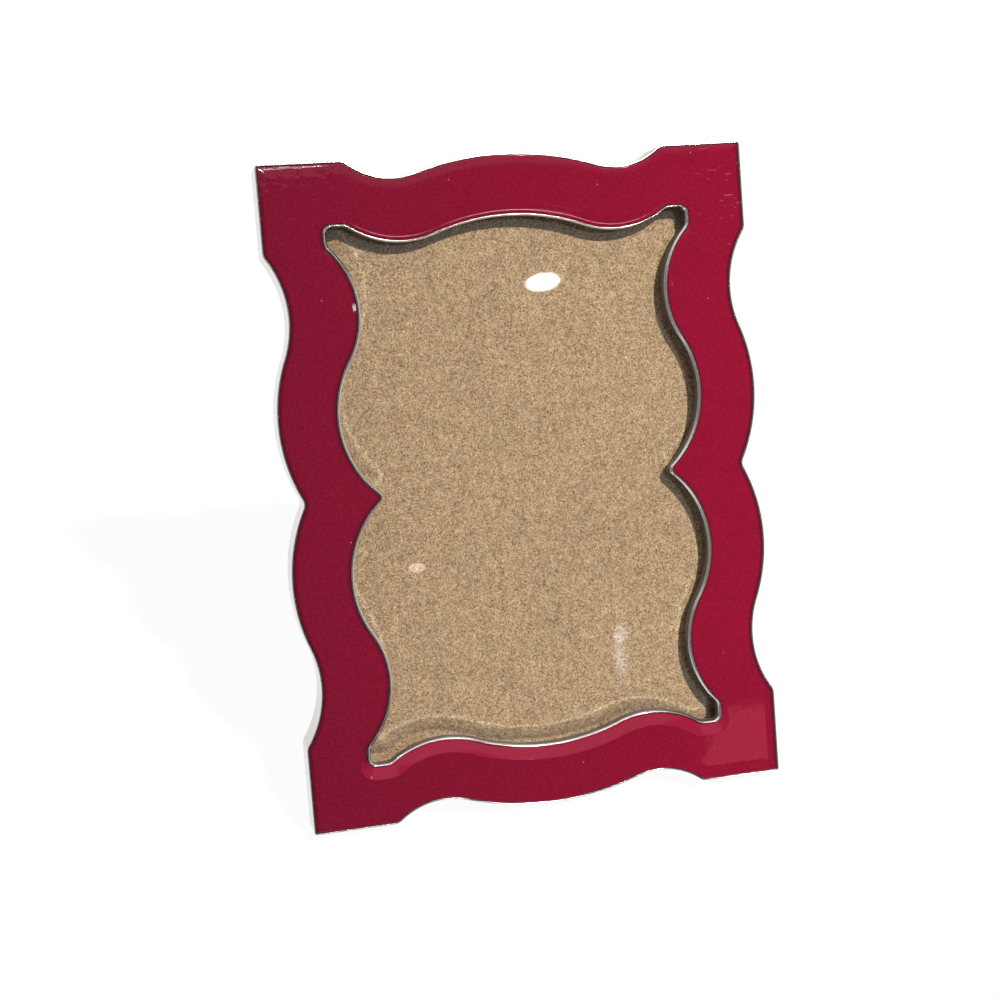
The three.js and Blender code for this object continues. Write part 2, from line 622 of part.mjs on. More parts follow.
// Ribbon from the covered back to the front of the open strut, with a tab glued down at each end
function stayRibbon() {
  const onBack = -(SEAT_GAP + RIBBON_THICKNESS / 2);
  const onStrut = STRUT_FRONT + SEAT_GAP + RIBBON_THICKNESS / 2;
  const fromStrut = (y) => {
    const turnedPoint = new THREE.Vector2(y, onStrut).rotateAround(new THREE.Vector2(), OPENING);
    return turnedPoint.add(new THREE.Vector2(HINGE_Y, HINGE_Z));
  };
  const path = [
    new THREE.Vector2(HINGE_Y - RIBBON_BACK_FROM_HINGE - RIBBON_TAB_LENGTH, onBack),
    new THREE.Vector2(HINGE_Y - RIBBON_BACK_FROM_HINGE, onBack),
    fromStrut(-RIBBON_STRUT_FROM_HINGE),
    fromStrut(-RIBBON_STRUT_FROM_HINGE - RIBBON_TAB_LENGTH),
  ];
  const side = (sign) => path.map((point, i) => {
    const before = point.clone().sub(path[Math.max(i - 1, 0)]);
    const after = path[Math.min(i + 1, path.length - 1)].clone().sub(point);
    const first = (before.length() > 0 ? before : after).clone().normalize();
    const second = (after.length() > 0 ? after : before).clone().normalize();
    const mitre = first.clone().add(second).normalize();
    const half = (sign * RIBBON_THICKNESS) / 2 / mitre.dot(first);
    return new THREE.Vector2(point.x - mitre.y * half, point.y + mitre.x * half);
  });
  const section = new THREE.Shape([...side(1), ...side(-1).reverse()]);
  const band = new THREE.ExtrudeGeometry(section, { depth: RIBBON_WIDTH, bevelEnabled: false });
  const toFrame = new THREE.Matrix4().makeBasis(
    new THREE.Vector3(0, 1, 0),
    new THREE.Vector3(0, 0, 1),
    new THREE.Vector3(1, 0, 0),
  );
  return band.applyMatrix4(toFrame).translate(-RIBBON_WIDTH / 2, 0, 0);
}

// Finishes

const finishes = {
  plating: { color: 0xc9c6c3, roughness: 0.12, metalness: 1 },
  enamel: { color: 0x8a1a31, roughness: 0.12, metalness: 0 },
  glass: { color: 0xe6eeec, roughness: 0.03, metalness: 0 },
  cardboard: { color: 0xb59876, roughness: 0.9, metalness: 0 },
  board: { color: 0x6b5a48, roughness: 0.9, metalness: 0 },
  velvet: { color: 0x1c1b1f, roughness: 1, metalness: 0 },
  steel: { color: 0xb4b2ae, roughness: 0.3, metalness: 1 },
  ribbon: { color: 0x26242a, roughness: 0.7, metalness: 0 },
};

function piece(name, geometry, finish, place = [0, 0, 0]) {
  const mesh = new THREE.Mesh(geometry, new THREE.MeshStandardMaterial(finishes[finish]));
  mesh.name = name;
  mesh.position.set(...place);
  return mesh;
}

// Assembly: the leaning frame carries everything, and the strut swings on the hinge axis

const strut = new THREE.Group();
strut.position.set(0, HINGE_Y, HINGE_Z);
strut.rotation.x = OPENING;
const strutHead = -(KNUCKLE_RADIUS + SEAT_GAP);
const strutShank = STRUT_RIVET_TIP - strutHead;
strut.add(
  piece('hinge_moving_leaf', hingeLeaf(centreKnuckle).rotateX(Math.PI), 'steel'),
  piece('hinge_rivet_strut_left', rivet(strutShank), 'steel', [...strutRivets[0], strutHead]),
  piece('hinge_rivet_strut_right', rivet(strutShank), 'steel', [...strutRivets[1], strutHead]),
  piece('strut_board', strutBoard(), 'board'),
  piece('strut_covering', strutCovering(), 'velvet'),
);

const leaningFrame = new THREE.Group();
leaningFrame.rotation.x = Math.PI / 2 - LEAN;
const backHead = -(SEAT_GAP + LEAF_THICKNESS + SEAT_GAP);
const backShank = BACK_RIVET_TIP - backHead;
leaningFrame.add(
  piece('frame_casting', frameCasting(), 'plating'),
  piece('enamel_inlay', enamelInlay(), 'enamel'),
  piece('glass_pane', glassPane(), 'glass'),
  piece('cardboard_filler', cardboardFiller(), 'cardboard'),
  piece('back_board', backBoard(), 'board'),
  piece('back_covering', backCovering(), 'velvet'),
  piece('hinge_fixed_leaf', hingeLeaf(outerKnuckles), 'steel', [0, HINGE_Y, HINGE_Z]),
  piece('hinge_pin', hingePin(), 'steel', [0, HINGE_Y, HINGE_Z]),
  piece('hinge_rivet_back_left', rivet(backShank), 'steel', [...backRivets[0], backHead]),
  piece('hinge_rivet_back_right', rivet(backShank), 'steel', [...backRivets[1], backHead]),
  piece('stay_ribbon', stayRibbon(), 'ribbon'),
  strut,
);
buttonPlaces.forEach(({ name, sideX, x, y }) => {
  leaningFrame.add(
    piece(`turn_button_${name}`, turnButton(sideX), 'steel', [x, y, 0]),
    piece(`button_screw_${name}`, turnButtonScrew(), 'steel', [x, y, 0]),
  );
});

// Stand the frame on z = 0 with the middle of its footprint at the origin
const pictureFrame = new THREE.Group();
pictureFrame.add(leaningFrame);
pictureFrame.updateMatrixWorld(true);
const reach = new THREE.Box3().setFromObject(pictureFrame, true);
leaningFrame.position.set(0, -(reach.min.y + reach.max.y) / 2, -reach.min.z);
pictureFrame.updateMatrixWorld(true);

export default pictureFrame;
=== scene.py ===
import math

import bpy
import numpy as np
from mathutils import Matrix, Vector

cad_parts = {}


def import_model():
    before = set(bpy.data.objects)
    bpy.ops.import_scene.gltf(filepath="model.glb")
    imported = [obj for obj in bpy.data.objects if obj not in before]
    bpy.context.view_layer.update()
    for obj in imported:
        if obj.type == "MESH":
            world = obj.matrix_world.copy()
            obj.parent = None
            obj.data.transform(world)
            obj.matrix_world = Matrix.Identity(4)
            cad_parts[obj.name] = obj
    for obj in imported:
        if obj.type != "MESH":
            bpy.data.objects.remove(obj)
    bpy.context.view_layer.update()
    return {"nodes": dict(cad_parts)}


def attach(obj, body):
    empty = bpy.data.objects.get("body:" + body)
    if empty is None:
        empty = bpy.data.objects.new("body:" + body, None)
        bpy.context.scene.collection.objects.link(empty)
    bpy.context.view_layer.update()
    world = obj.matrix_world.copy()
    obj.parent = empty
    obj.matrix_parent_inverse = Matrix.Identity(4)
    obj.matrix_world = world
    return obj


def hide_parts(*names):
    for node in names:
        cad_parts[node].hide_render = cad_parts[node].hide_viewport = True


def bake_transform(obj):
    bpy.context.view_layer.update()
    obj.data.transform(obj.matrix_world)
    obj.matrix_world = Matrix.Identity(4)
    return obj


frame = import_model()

scene = bpy.context.scene
scene.view_settings.view_transform = "Standard"

# The frame's own axes, x across, y up and z from rear to front: their place in metres and their turn
STAND = (0.0, -0.006370662, 0.096064693)
TURN = math.radians(71)

# Casting, in millimetres in those axes, as are all sizes before the lights
MM = 0.001
FRONT = 13.5
LIP_SEAT = 9.5
CELL_FLOOR = 12.3
REBATE_HALF = (64.0, 89.4)
RIM = 0.6
RIM_WIDENING = 0.4
OUTER_RIM = 0.5
RIM_EASE = 0.12
RIM_ROUND = 0.1
REAR_EASE = 0.3
WALL_EASE = 0.2
LIP_EASE = 0.15
SLOPE_TOP = 0.45
SLOPE_TOP_WIDENING = 0.2
SLOPE_DROP = 0.53
SLOPE_DROP_WIDENING = 0.12
CASTING_SHARP = math.radians(55)
OUTER = {
    "half": (76.2, 101.6),
    "inset": 0.0,
    "corner": 1.0,
    "fillet": 4.0,
    "top_dip": (41.2, 5.6, 22.5),
    "side_dip": (45.8, 6.0, 32.0),
    "cusp": (6.1, 3.0),
}
SIGHT = {
    "half": (57.15, 82.55),
    "inset": 0.4,
    "corner": 1.8,
    "fillet": 3.0,
    "top_dip": (23.6, 6.1, 29.3),
    "side_dip": (26.2, 9.0, 28.4),
    "cusp": (12.3, 2.0),
}
LEAST_RADIUS = 0.1
EVENED_OVER = 1.0
ARC_STEPS = {"cusp": 10, "lobe": 36, "side": 28, "fillet": 10, "corner": 10, "top": 28, "crown": 30}

# Enamel: each profile has shares of an edge's width and, at those, levels below the crown
ENAMEL_CROWN = 0.12
ENAMEL_JOINT = 0.03
ENAMEL_DEPTH = 1.1
BEVEL_REACH = 5.0
BEVEL_PAST = (0.05, 0.3)
BEVEL_ROWS = (
    0, 0.04, 0.07, 0.1, 0.13, 0.16, 0.18, 0.2, 0.22, 0.24, 0.28,
    0.32, 0.36, 0.4, 0.45, 0.5, 0.6, 0.7, 0.82, 0.94, 1,
)
PLAIN_FALL = 0.1
PLAIN_CURVE = 1.35
PLAIN_LIP = ((0, 0.04, 0.07), (-0.5, -0.35, 0))
SIDE_PROFILE = ((0, 0.07, 0.1, 0.16, 0.24, 1), (-0.7, -0.6, -0.35, -0.13, -0.09, 0))
BOTTOM_PROFILE = ((0, 0.04, 0.1, 0.16, 0.4, 0.7, 1), (-0.98, -0.9, -0.9, -0.85, -0.59, -0.285, 0))
TOP_PROFILE = (
    (0, 0.1, 0.2, 0.28, 0.32, 0.36, 0.4, 0.45, 0.5, 1),
    (-0.4, -0.24, -0.13, -0.08, -0.084, -0.104, -0.124, -0.131, -0.129, 0),
)
BLOCK_PROFILE = ((0, 0.17, 0.22, 0.26, 0.45, 0.7, 1), (-0.14, -0.13, -0.08, -0.055, -0.012, 0, 0))
OUTER_WIDTH = {"all": 3.0, "up": 0.4, "down": 1.2, "block": 1.4}
SIGHT_WIDTH = {"up": 3.1, "down": 4.15, "side": 1.6}
# How far an edge has to face a way before the shape for that way counts, from none to all of it
FACING = {
    "up": (0.1, 0.5),
    "down": (0.05, 0.4),
    "block": (0.85, 0.97),
    "side": (0.5, 0.8),
    "beside": (0.55, 0.85),
}
ENDS_FROM = (68, 73)
TOP_WITHIN = (50, 53)
BLOCK_FROM = (49, 54)
BLOCK_SLIDE = {"from": -74, "over": 20, "by": 0.15}
# Painted shade along the enamel's side edges: shares of the edge's width and, at those, how much darker
EDGE_SHADE = ((0, 0.2, 0.42), (-0.8, -0.8, 0))

# Glass and card
GLASS_FRONT = 9.2
CARD_FACE = 6.86
CARD_REAR = 3.9
CARD_FINE = ((-59, -36), (-84, -64))
CARD_STEPS = ((5, 48, 92), (5, 51, 230))
CARD_SHARP = math.radians(60)
FLUTE_PITCH = 6.5
FLUTE_HEIGHT = 0.015
IMPRINT_TURN = math.radians(-2)
IMPRINT_SHIFT = (0.5, 4.7)
IMPRINT_WIDTH = 0.6
IMPRINT_HEIGHT = 0.16
CARD_SLOPE = 0.03
CARD_SLOPE_BELOW = 0.15
CARD_BEND = 0.004
CARD_BEND_BELOW = 0.068
CARD_BELOW_CURVE = 1.5
CARD_DROP_MOST = 2.5

# Back and strut, with their cloth
BACK_HALF = (63.25, 88.65)
BACK_CLOTH_FRONT = 0.78
BACK_CLOTH_REAR = 0.01
BACK_CLOTH_RUFFLE = 0.06
BACK_CLOTH_ROLL = (0.7, 0.62)
BACK_CLOTH_EDGE_ROWS = (0.0, 0.03, 0.12, 0.3, 0.55, 0.9)
BACK_CLOTH_FLAT_FROM = 2.0
HINGE = (45.15, -2.9)
OPENING = math.radians(35)
STRUT_LENGTH = 143.364
STRUT_SPLAY = 11.5 / 139.664
STRUT_TOP = -2.9
STRUT_HALF_TOP = 16.3
STRUT_CORNER = 1.4
STRUT_CORNER_LEAST = 0.2
STRUT_FOOT_SLANT = math.tan(math.radians(16))
STRUT_CLOTH_SHORT = 0.15
STRUT_CLOTH_THICKNESS = 0.45
STRUT_CLOTH_ROWS = ((0, 1.7), (0, 0.6), (0, -0.7), (0.1, -1.1), (0.3, -1.38), (0.65, -1.49), (1.2, -1.5))

# Ribbon: its glued ends as places up the back and along the strut, each with a depth
RIBBON_HALF = 5.25
RIBBON_THICKNESS = 0.34
RIBBON_BEND = 2.4
RIBBON_STEP = 1.2
RIBBON_EDGE = ((0.0, 0.0), (0.15, 0.4), (0.5, 0.5))
RIBBON_FLAT_FROM = 1.2
RIBBON_ON_BACK = ((-51.85, -0.5), (-42.85, -0.5))
RIBBON_ON_STRUT = ((-80, 2.2), (-89, 2.2))

# Pieces that keep their solids: width of the eased edges, and angles that tell flat, curved and sharp apart
EASED = {"hinge": 0.12, "rivet": 0.08, "button": 0.14, "screw": 0.1, "board": 0.15}
WELD = 0.002
FLAT_ANGLE = math.radians(0.5)
CURVED_ANGLE = math.radians(25)
SHARP_ANGLE = math.radians(35)

# Key light, and lamps that show in the front: place on the glass, direction, radiance, size in metres, tint
KEY = (0.264, 0.424, 0.866)
KEY_ENERGY = 2.85
KEY_ANGLE = math.radians(1.6)
KEY_TARGET = (0.0, -0.012, 0.098)
KEY_GLOW = {"edge": math.radians(11), "core": math.radians(7), "level": 17.0}
KEY_GLOW_BAND = ((0.375, 0.395), (0.445, 0.465))
LAMP_DISTANCE = 1.5
WHITE = (1, 1, 1)
WARM = (1, 0.8, 0.68)
CREAM = (1, 0.93, 0.88)
COOL = (0.85, 0.92, 1)
ROSY = (1, 0.17, 0.24)
GLINT = (0.1609, -0.1259, 0.9789)
STRIP = (0.281, -0.1767, 0.9435)
LAMPS = {
    "window": ((10.1, 61.9), (0.2537, 0.0474, 0.9661), 13, (0.044, 0.022), WHITE),
    "glint_wide": ((-37.0, -23.2), GLINT, 4.5, (0.021, 0.0125), WARM),
    "glint_core": ((-37.0, -23.2), GLINT, 4.0, (0.015, 0.008), WARM),
    "edge_line": ((-64.0, 99.5), (0.105, 0.424, 0.9), 90, (0.1, 0.045), CREAM),
    "strip_wide": ((26.9, -51.3), STRIP, 2.8, (0.018, 0.022), COOL),
    "strip_core": ((26.9, -51.3), STRIP, 3.0, (0.013, 0.016), COOL),
    "strip_tail": ((26.6, -57.5), (0.2797, -0.1885, 0.9414), 1.6, (0.013, 0.05), COOL),
    "strip_end": ((26.2, -62.5), (0.2783, -0.198, 0.9398), 1.0, (0.012, 0.05), COOL),
}

# Room: each brightness has the two values of x, y or z between which it changes, and from what to what
ROOM = {
    "upper": (0.455, 0.485, 0.075, 0.4),
    "zenith": (0.75, 0.9, 0.0, 1.0),
    "east": (0.8, 0.95, 0.0, 0.9),
    "near_west": (-0.42, -0.5, 0.0, 0.9),
    "far_west": (-0.65, -0.8, 1.0, 0.25),
    "behind": (-0.1, 0.15, 0.0, 0.8),
}
ROOM_SOFT = 0.2
PATCH_SLANT = -0.5425
PATCH_LEFT = (0.497, 0.505)
PATCH_RIGHT = (0.3985, 0.402)
PATCH_LOW = (-0.291, -0.286)
PATCH_HIGH = (-0.252, -0.243)
PATCH_LEVEL = 2.0

# Floor and camera, in metres in the shared frame
FLOOR_HALF = 0.9
FLOOR_NEAR = -0.07
FLOOR_FAR = 1.6
FLOOR_Z = -0.0002
CAMERA_LENS = 56.716
CAMERA_SENSOR = 36.0
CAMERA_PLACE = (-0.11575105, -0.45560193, 0.29138911)
CAMERA_RIGHT = (0.97161566, -0.23656323, -0.00092226)
CAMERA_UP = (0.09527119, 0.38772472, 0.91683856)
CAMERA_AHEAD = (0.2165327, 0.89090257, -0.39925707)


def to_world(points):
    p = np.asarray(points, float) * MM
    c, s = math.cos(TURN), math.sin(TURN)
    x = p[:, 0] + STAND[0]
    y = c * p[:, 1] - s * p[:, 2] + STAND[1]
    z = s * p[:, 1] + c * p[:, 2] + STAND[2]
    return np.stack([x, y, z], 1)


def strut_to_frame(points):
    p = np.asarray(points, float)
    c, s = math.cos(OPENING), math.sin(OPENING)
    y = HINGE[0] + c * p[:, 1] - s * p[:, 2]
    z = HINGE[1] + s * p[:, 1] + c * p[:, 2]
    return np.stack([p[:, 0], y, z], 1)


def new_piece(name, points, faces, material):
    mesh = bpy.data.meshes.new(name)
    mesh.from_pydata(to_world(points).tolist(), [], faces)
    mesh.update()
    mesh.polygons.foreach_set("use_smooth", [True] * len(mesh.polygons))
    mesh.materials.append(material)
    piece = bpy.data.objects.new(name, mesh)
    scene.collection.objects.link(piece)
    return piece


# Scalloped outlines: crown, dips, corner blocks, lobes and cusps that meet at tangents


def bearing(a, b):
    angle = math.atan2(b[1] - a[1], b[0] - a[0])
    return angle + 2 * math.pi if angle < 0 else angle


def arc(centre, radius, start, end, steps):
    t = np.linspace(start, end, steps + 1)
    return np.stack([centre[0] + radius * np.cos(t), centre[1] + radius * np.sin(t)], 1)


def outline(edge, inset):
    half_x, half_y = edge["half"]
    from_top, top_depth, top_radius = edge["top_dip"]
    from_side, side_depth, side_radius = edge["side_dip"]
    cusp_depth, cusp_radius = edge["cusp"]
    dip_x = half_x - from_top
    dip_y = half_y - from_side
    crown_radius = (dip_x**2 + top_depth**2) / (2 * top_depth) - top_radius
    a = (1 / cusp_depth - 1 / side_depth) / 2
    b = dip_y / side_depth
    c = (cusp_depth - side_depth) / 2 + side_radius - dip_y**2 / (2 * side_depth)
    lobe_y = -2 * c / (b + math.sqrt(b * b - 4 * a * c))
    lobe_radius = (lobe_y**2 + cusp_depth**2) / (2 * cusp_depth)
    crown = (0.0, half_y - crown_radius)
    top = (dip_x, half_y - top_depth + top_radius)
    side = (half_x - side_depth + side_radius, dip_y)
    lobe = (half_x - lobe_radius, lobe_y)

    def shrunk(radius):
        return max(radius - inset, LEAST_RADIUS)

    def grown(radius):
        return max(radius + inset, LEAST_RADIUS)

    def leg(long, short):
        return math.sqrt(long**2 - short**2)

    side_x = half_x - edge["inset"] - inset
    top_y = half_y - edge["inset"] - inset
    fillet = shrunk(edge["fillet"])
    corner_radius = shrunk(edge["corner"])
    cusp = (lobe[0] + leg(shrunk(lobe_radius) + grown(cusp_radius), lobe_y), 0.0)
    side_fillet_x = side_x - fillet
    side_fillet = (side_fillet_x, side[1] + leg(grown(side_radius) + fillet, side[0] - side_fillet_x))
    top_fillet_y = top_y - fillet
    top_fillet = (top[0] + leg(grown(top_radius) + fillet, top[1] - top_fillet_y), top_fillet_y)
    corner = (side_x - corner_radius, top_y - corner_radius)
    turn = 2 * math.pi
    n = ARC_STEPS
    quarter = np.vstack([
        arc(cusp, grown(cusp_radius), math.pi, bearing(cusp, lobe), n["cusp"]),
        arc(lobe, shrunk(lobe_radius), bearing(lobe, cusp) - turn, bearing(lobe, side), n["lobe"])[1:],
        arc(side, grown(side_radius), bearing(side, lobe), bearing(side, side_fillet), n["side"])[1:],
        arc(side_fillet, fillet, bearing(side_fillet, side) - turn, 0, n["fillet"])[1:],
        arc(corner, corner_radius, 0, math.pi / 2, n["corner"]),
        arc(top_fillet, fillet, math.pi / 2, bearing(top_fillet, top), n["fillet"]),
        arc(top, grown(top_radius), bearing(top, top_fillet), bearing(top, crown), n["top"])[1:],
        arc(crown, shrunk(crown_radius), bearing(crown, top), math.pi / 2, n["crown"])[1:],
    ])
    return mirrored(quarter)


def mirrored(quarter):
    back = quarter[1:-1][::-1]
    return np.vstack([quarter, back * (-1, 1), quarter * (-1, -1), back * (1, -1)])


def grown_outline(edge, out):
    near = outline(edge, 0)
    step = outline(edge, -1) - near
    return near + step * np.broadcast_to(out, len(near))[:, None]


def outward(loop):
    along = np.roll(loop, -1, 0) - np.roll(loop, 1, 0)
    along /= np.linalg.norm(along, axis=1)[:, None]
    return np.stack([along[:, 1], -along[:, 0]], 1)


def at_height(loop, z):
    return np.column_stack([loop, np.broadcast_to(z, len(loop))])


def ring_piece(name, loops, material):
    count = len(loops[0])
    faces = []
    for row in range(len(loops)):
        here = row * count
        up = (row + 1) % len(loops) * count
        for i in range(count):
            j = (i + 1) % count
            faces.append((here + i, here + j, up + j, up + i))
    return new_piece(name, np.vstack(loops), faces, material)


def on_rectangle(loop, half):
    # The outline's points move out to a rectangle, and the middle of each corner arc to its corner
    n = ARC_STEPS
    corner = n["cusp"] + n["lobe"] + n["side"] + n["fillet"] + n["corner"] // 2 + 1
    quarter_count = sum(n.values()) + n["fillet"] + 3
    quarter = loop[:quarter_count] * half / loop.max(0)
    quarter[:corner, 0] = half[0]
    quarter[corner] = half
    quarter[corner + 1:, 1] = half[1]
    return mirrored(quarter)


def grid_piece(name, xs, ys, top, bottom, material):
    wide, tall = len(xs), len(ys)
    x, y = np.meshgrid(xs, ys)
    points = np.vstack([
        np.stack([x, y, top], 2).reshape(-1, 3),
        np.stack([x, y, bottom], 2).reshape(-1, 3),
    ])
    below = wide * tall
    faces = []
    for j in range(tall - 1):
        for i in range(wide - 1):
            a = j * wide + i
            faces.append((a, a + 1, a + wide + 1, a + wide))
            faces.append((below + a, below + a + wide, below + a + wide + 1, below + a + 1))
    rim = list(range(wide))
    rim += [j * wide + wide - 1 for j in range(1, tall)]
    rim += [(tall - 1) * wide + i for i in range(wide - 2, -1, -1)]
    rim += [j * wide for j in range(tall - 2, 0, -1)]
    for k, a in enumerate(rim):
        b = rim[(k + 1) % len(rim)]
        faces.append((a, below + a, below + b, b))
    return new_piece(name, points, faces, material)


# Materials: the period of a wave pattern at scale 1, and the darkest tone of the card's grain
WAVE_PERIOD = 0.314
CARD_DARKEST = (0.03, 0.018, 0.008)


class Nodes:
    def __init__(self, tree):
        self.tree = tree
        tree.nodes.clear()

    def add(self, kind, settings=None, **values):
        node = self.tree.nodes.new(kind)
        for key, value in (settings or {}).items():
            setattr(node, key, value)
        for key, value in values.items():
            node.inputs[key.replace("_", " ")].default_value = value
        return node

    def link(self, source, target):
        self.tree.links.new(source, target)

    def math(self, operation, *values):
        result = values[0]
        for value in values[1:]:
            node = self.add("ShaderNodeMath", {"operation": operation})
            for socket, term in zip(node.inputs, (result, value)):
                if isinstance(term, (int, float)):
                    socket.default_value = term
                else:
                    self.link(term, socket)
            result = node.outputs[0]
        return result

    def spread(self, value, low, high, to_low, to_high, curve="LINEAR"):
        node = self.add("ShaderNodeMapRange", {"interpolation_type": curve}, From_Min=low, From_Max=high)
        node.inputs["To Min"].default_value = to_low
        node.inputs["To Max"].default_value = to_high
        self.link(value, node.inputs["Value"])
        return node.outputs[0]

    def smooth(self, *values):
        return self.spread(*values, curve="SMOOTHSTEP")

    def split(self, value, kind):
        node = self.add(kind)
        self.link(value, node.inputs[0])
        return node.outputs[:3]

    def turned(self, vector):
        node = self.add("ShaderNodeVectorRotate", {"rotation_type": "X_AXIS"}, Angle=-TURN)
        self.link(vector, node.inputs["Vector"])
        return node.outputs[0]


class Shade(Nodes):
    def __init__(self, name):
        self.material = bpy.data.materials.new(name)
        self.material.use_nodes = True
        super().__init__(self.material.node_tree)
        self.out = self.add("ShaderNodeOutputMaterial")
        self.bsdf = self.add("ShaderNodeBsdfPrincipled")
        self.link(self.bsdf.outputs[0], self.out.inputs["Surface"])

    def set(self, **values):
        for key, value in values.items():
            self.bsdf.inputs[key.replace("_", " ")].default_value = value

    def place(self):
        coords = self.add("ShaderNodeTexCoord")
        shift = self.add("ShaderNodeVectorMath", {"operation": "SUBTRACT"})
        shift.inputs[1].default_value = STAND
        self.link(coords.outputs["Object"], shift.inputs[0])
        return self.turned(shift.outputs[0])

    def stretched(self, vector, scale):
        node = self.add("ShaderNodeVectorMath", {"operation": "MULTIPLY"})
        node.inputs[1].default_value = scale
        self.link(vector, node.inputs[0])
        return node.outputs[0]

    def noise(self, vector, size, detail=3.0, roughness=0.55):
        node = self.add("ShaderNodeTexNoise", Scale=1 / (size * MM), Detail=detail, Roughness=roughness)
        self.link(vector, node.inputs["Vector"])
        return node.outputs["Fac"]

    def cells(self, vector, size, dimensions="3D"):
        node = self.add("ShaderNodeTexVoronoi", {"voronoi_dimensions": dimensions}, Scale=1 / (size * MM))
        self.link(vector, node.inputs["Vector"])
        return node.outputs["Distance"], node.outputs["Color"]

    def wave(self, vector, period, direction, distortion):
        settings = {"bands_direction": direction}
        node = self.add("ShaderNodeTexWave", settings, Distortion=distortion, Detail=1.0)
        node.inputs["Scale"].default_value = WAVE_PERIOD / (period * MM)
        self.link(vector, node.inputs["Vector"])
        return node.outputs["Fac"]

    def blend(self, share, first, second):
        node = self.add("ShaderNodeMix", {"data_type": "RGBA"})
        for socket, value in zip((node.inputs[0], node.inputs[6], node.inputs[7]), (share, first, second)):
            if isinstance(value, tuple):
                socket.default_value = (*value, 1)
            elif isinstance(value, float):
                socket.default_value = value
            else:
                self.link(value, socket)
        return node.outputs[2]

    def scaled(self, colour, share):
        node = self.add("ShaderNodeVectorMath", {"operation": "SCALE"})
        self.link(colour, node.inputs[0])
        self.link(share, node.inputs["Scale"])
        return node.outputs[0]

    def tinted(self, colour, share, weights, darkest):
        amount = self.add("ShaderNodeVectorMath", {"operation": "SCALE"})
        amount.inputs[0].default_value = weights
        self.link(share, amount.inputs["Scale"])
        shifted = self.add("ShaderNodeVectorMath", {"operation": "MULTIPLY_ADD"})
        self.link(colour, shifted.inputs[0])
        self.link(amount.outputs[0], shifted.inputs[1])
        self.link(colour, shifted.inputs[2])
        kept = self.add("ShaderNodeVectorMath", {"operation": "MAXIMUM"})
        kept.inputs[1].default_value = darkest
        self.link(shifted.outputs[0], kept.inputs[0])
        return kept.outputs[0]

    def grains(self, vector, size):
        return self.split(self.cells(vector, size)[1], "ShaderNodeSeparateColor")

    def colour(self, value):
        self.link(value, self.bsdf.inputs["Base Color"])

    def rough(self, value):
        self.link(value, self.bsdf.inputs["Roughness"])

    def bump(self, *layers):
        before = None
        for height, depth in layers:
            node = self.add("ShaderNodeBump", Distance=depth * MM, Strength=1.0)
            self.link(height, node.inputs["Height"])
            if before is not None:
                self.link(before, node.inputs["Normal"])
            before = node.outputs[0]
        self.link(before, self.bsdf.inputs["Normal"])


def plating(name, dull, shade, relief=1.0):
    s = Shade(name)
    s.set(Metallic=1.0)
    at = s.place()
    broad = s.noise(at, 5.0)
    fine = s.noise(at, 0.6, 3.0, 0.7)
    wear_and_highlight = s.spread(fine, 0.56, 0.74, 0.0, 0.35)
    tone = s.blend(broad, (0.86, 0.805, 0.78), (0.75, 0.7, 0.68))
    tone = s.blend(wear_and_highlight, tone, (0.34, 0.31, 0.29))
    ways = s.add("ShaderNodeLightPath")
    tone = s.blend(ways.outputs["Is Diffuse Ray"], tone, (0.1, 0.08, 0.07))
    # Shade darkens the metal towards brown. On the sight wall this is painted shade and the painted brown
    # of the shaded card it mirrors; on the rear and the outer side it darkens the finish
    s.colour(s.blend(shade, tone, (0.12, 0.085, 0.065)))
    s.rough(s.spread(fine, 0.3, 0.7, 0.06 + dull, 0.2 + dull))
    s.bump((fine, 0.014 * relief), (broad, 0.08 * relief))
    return s.material


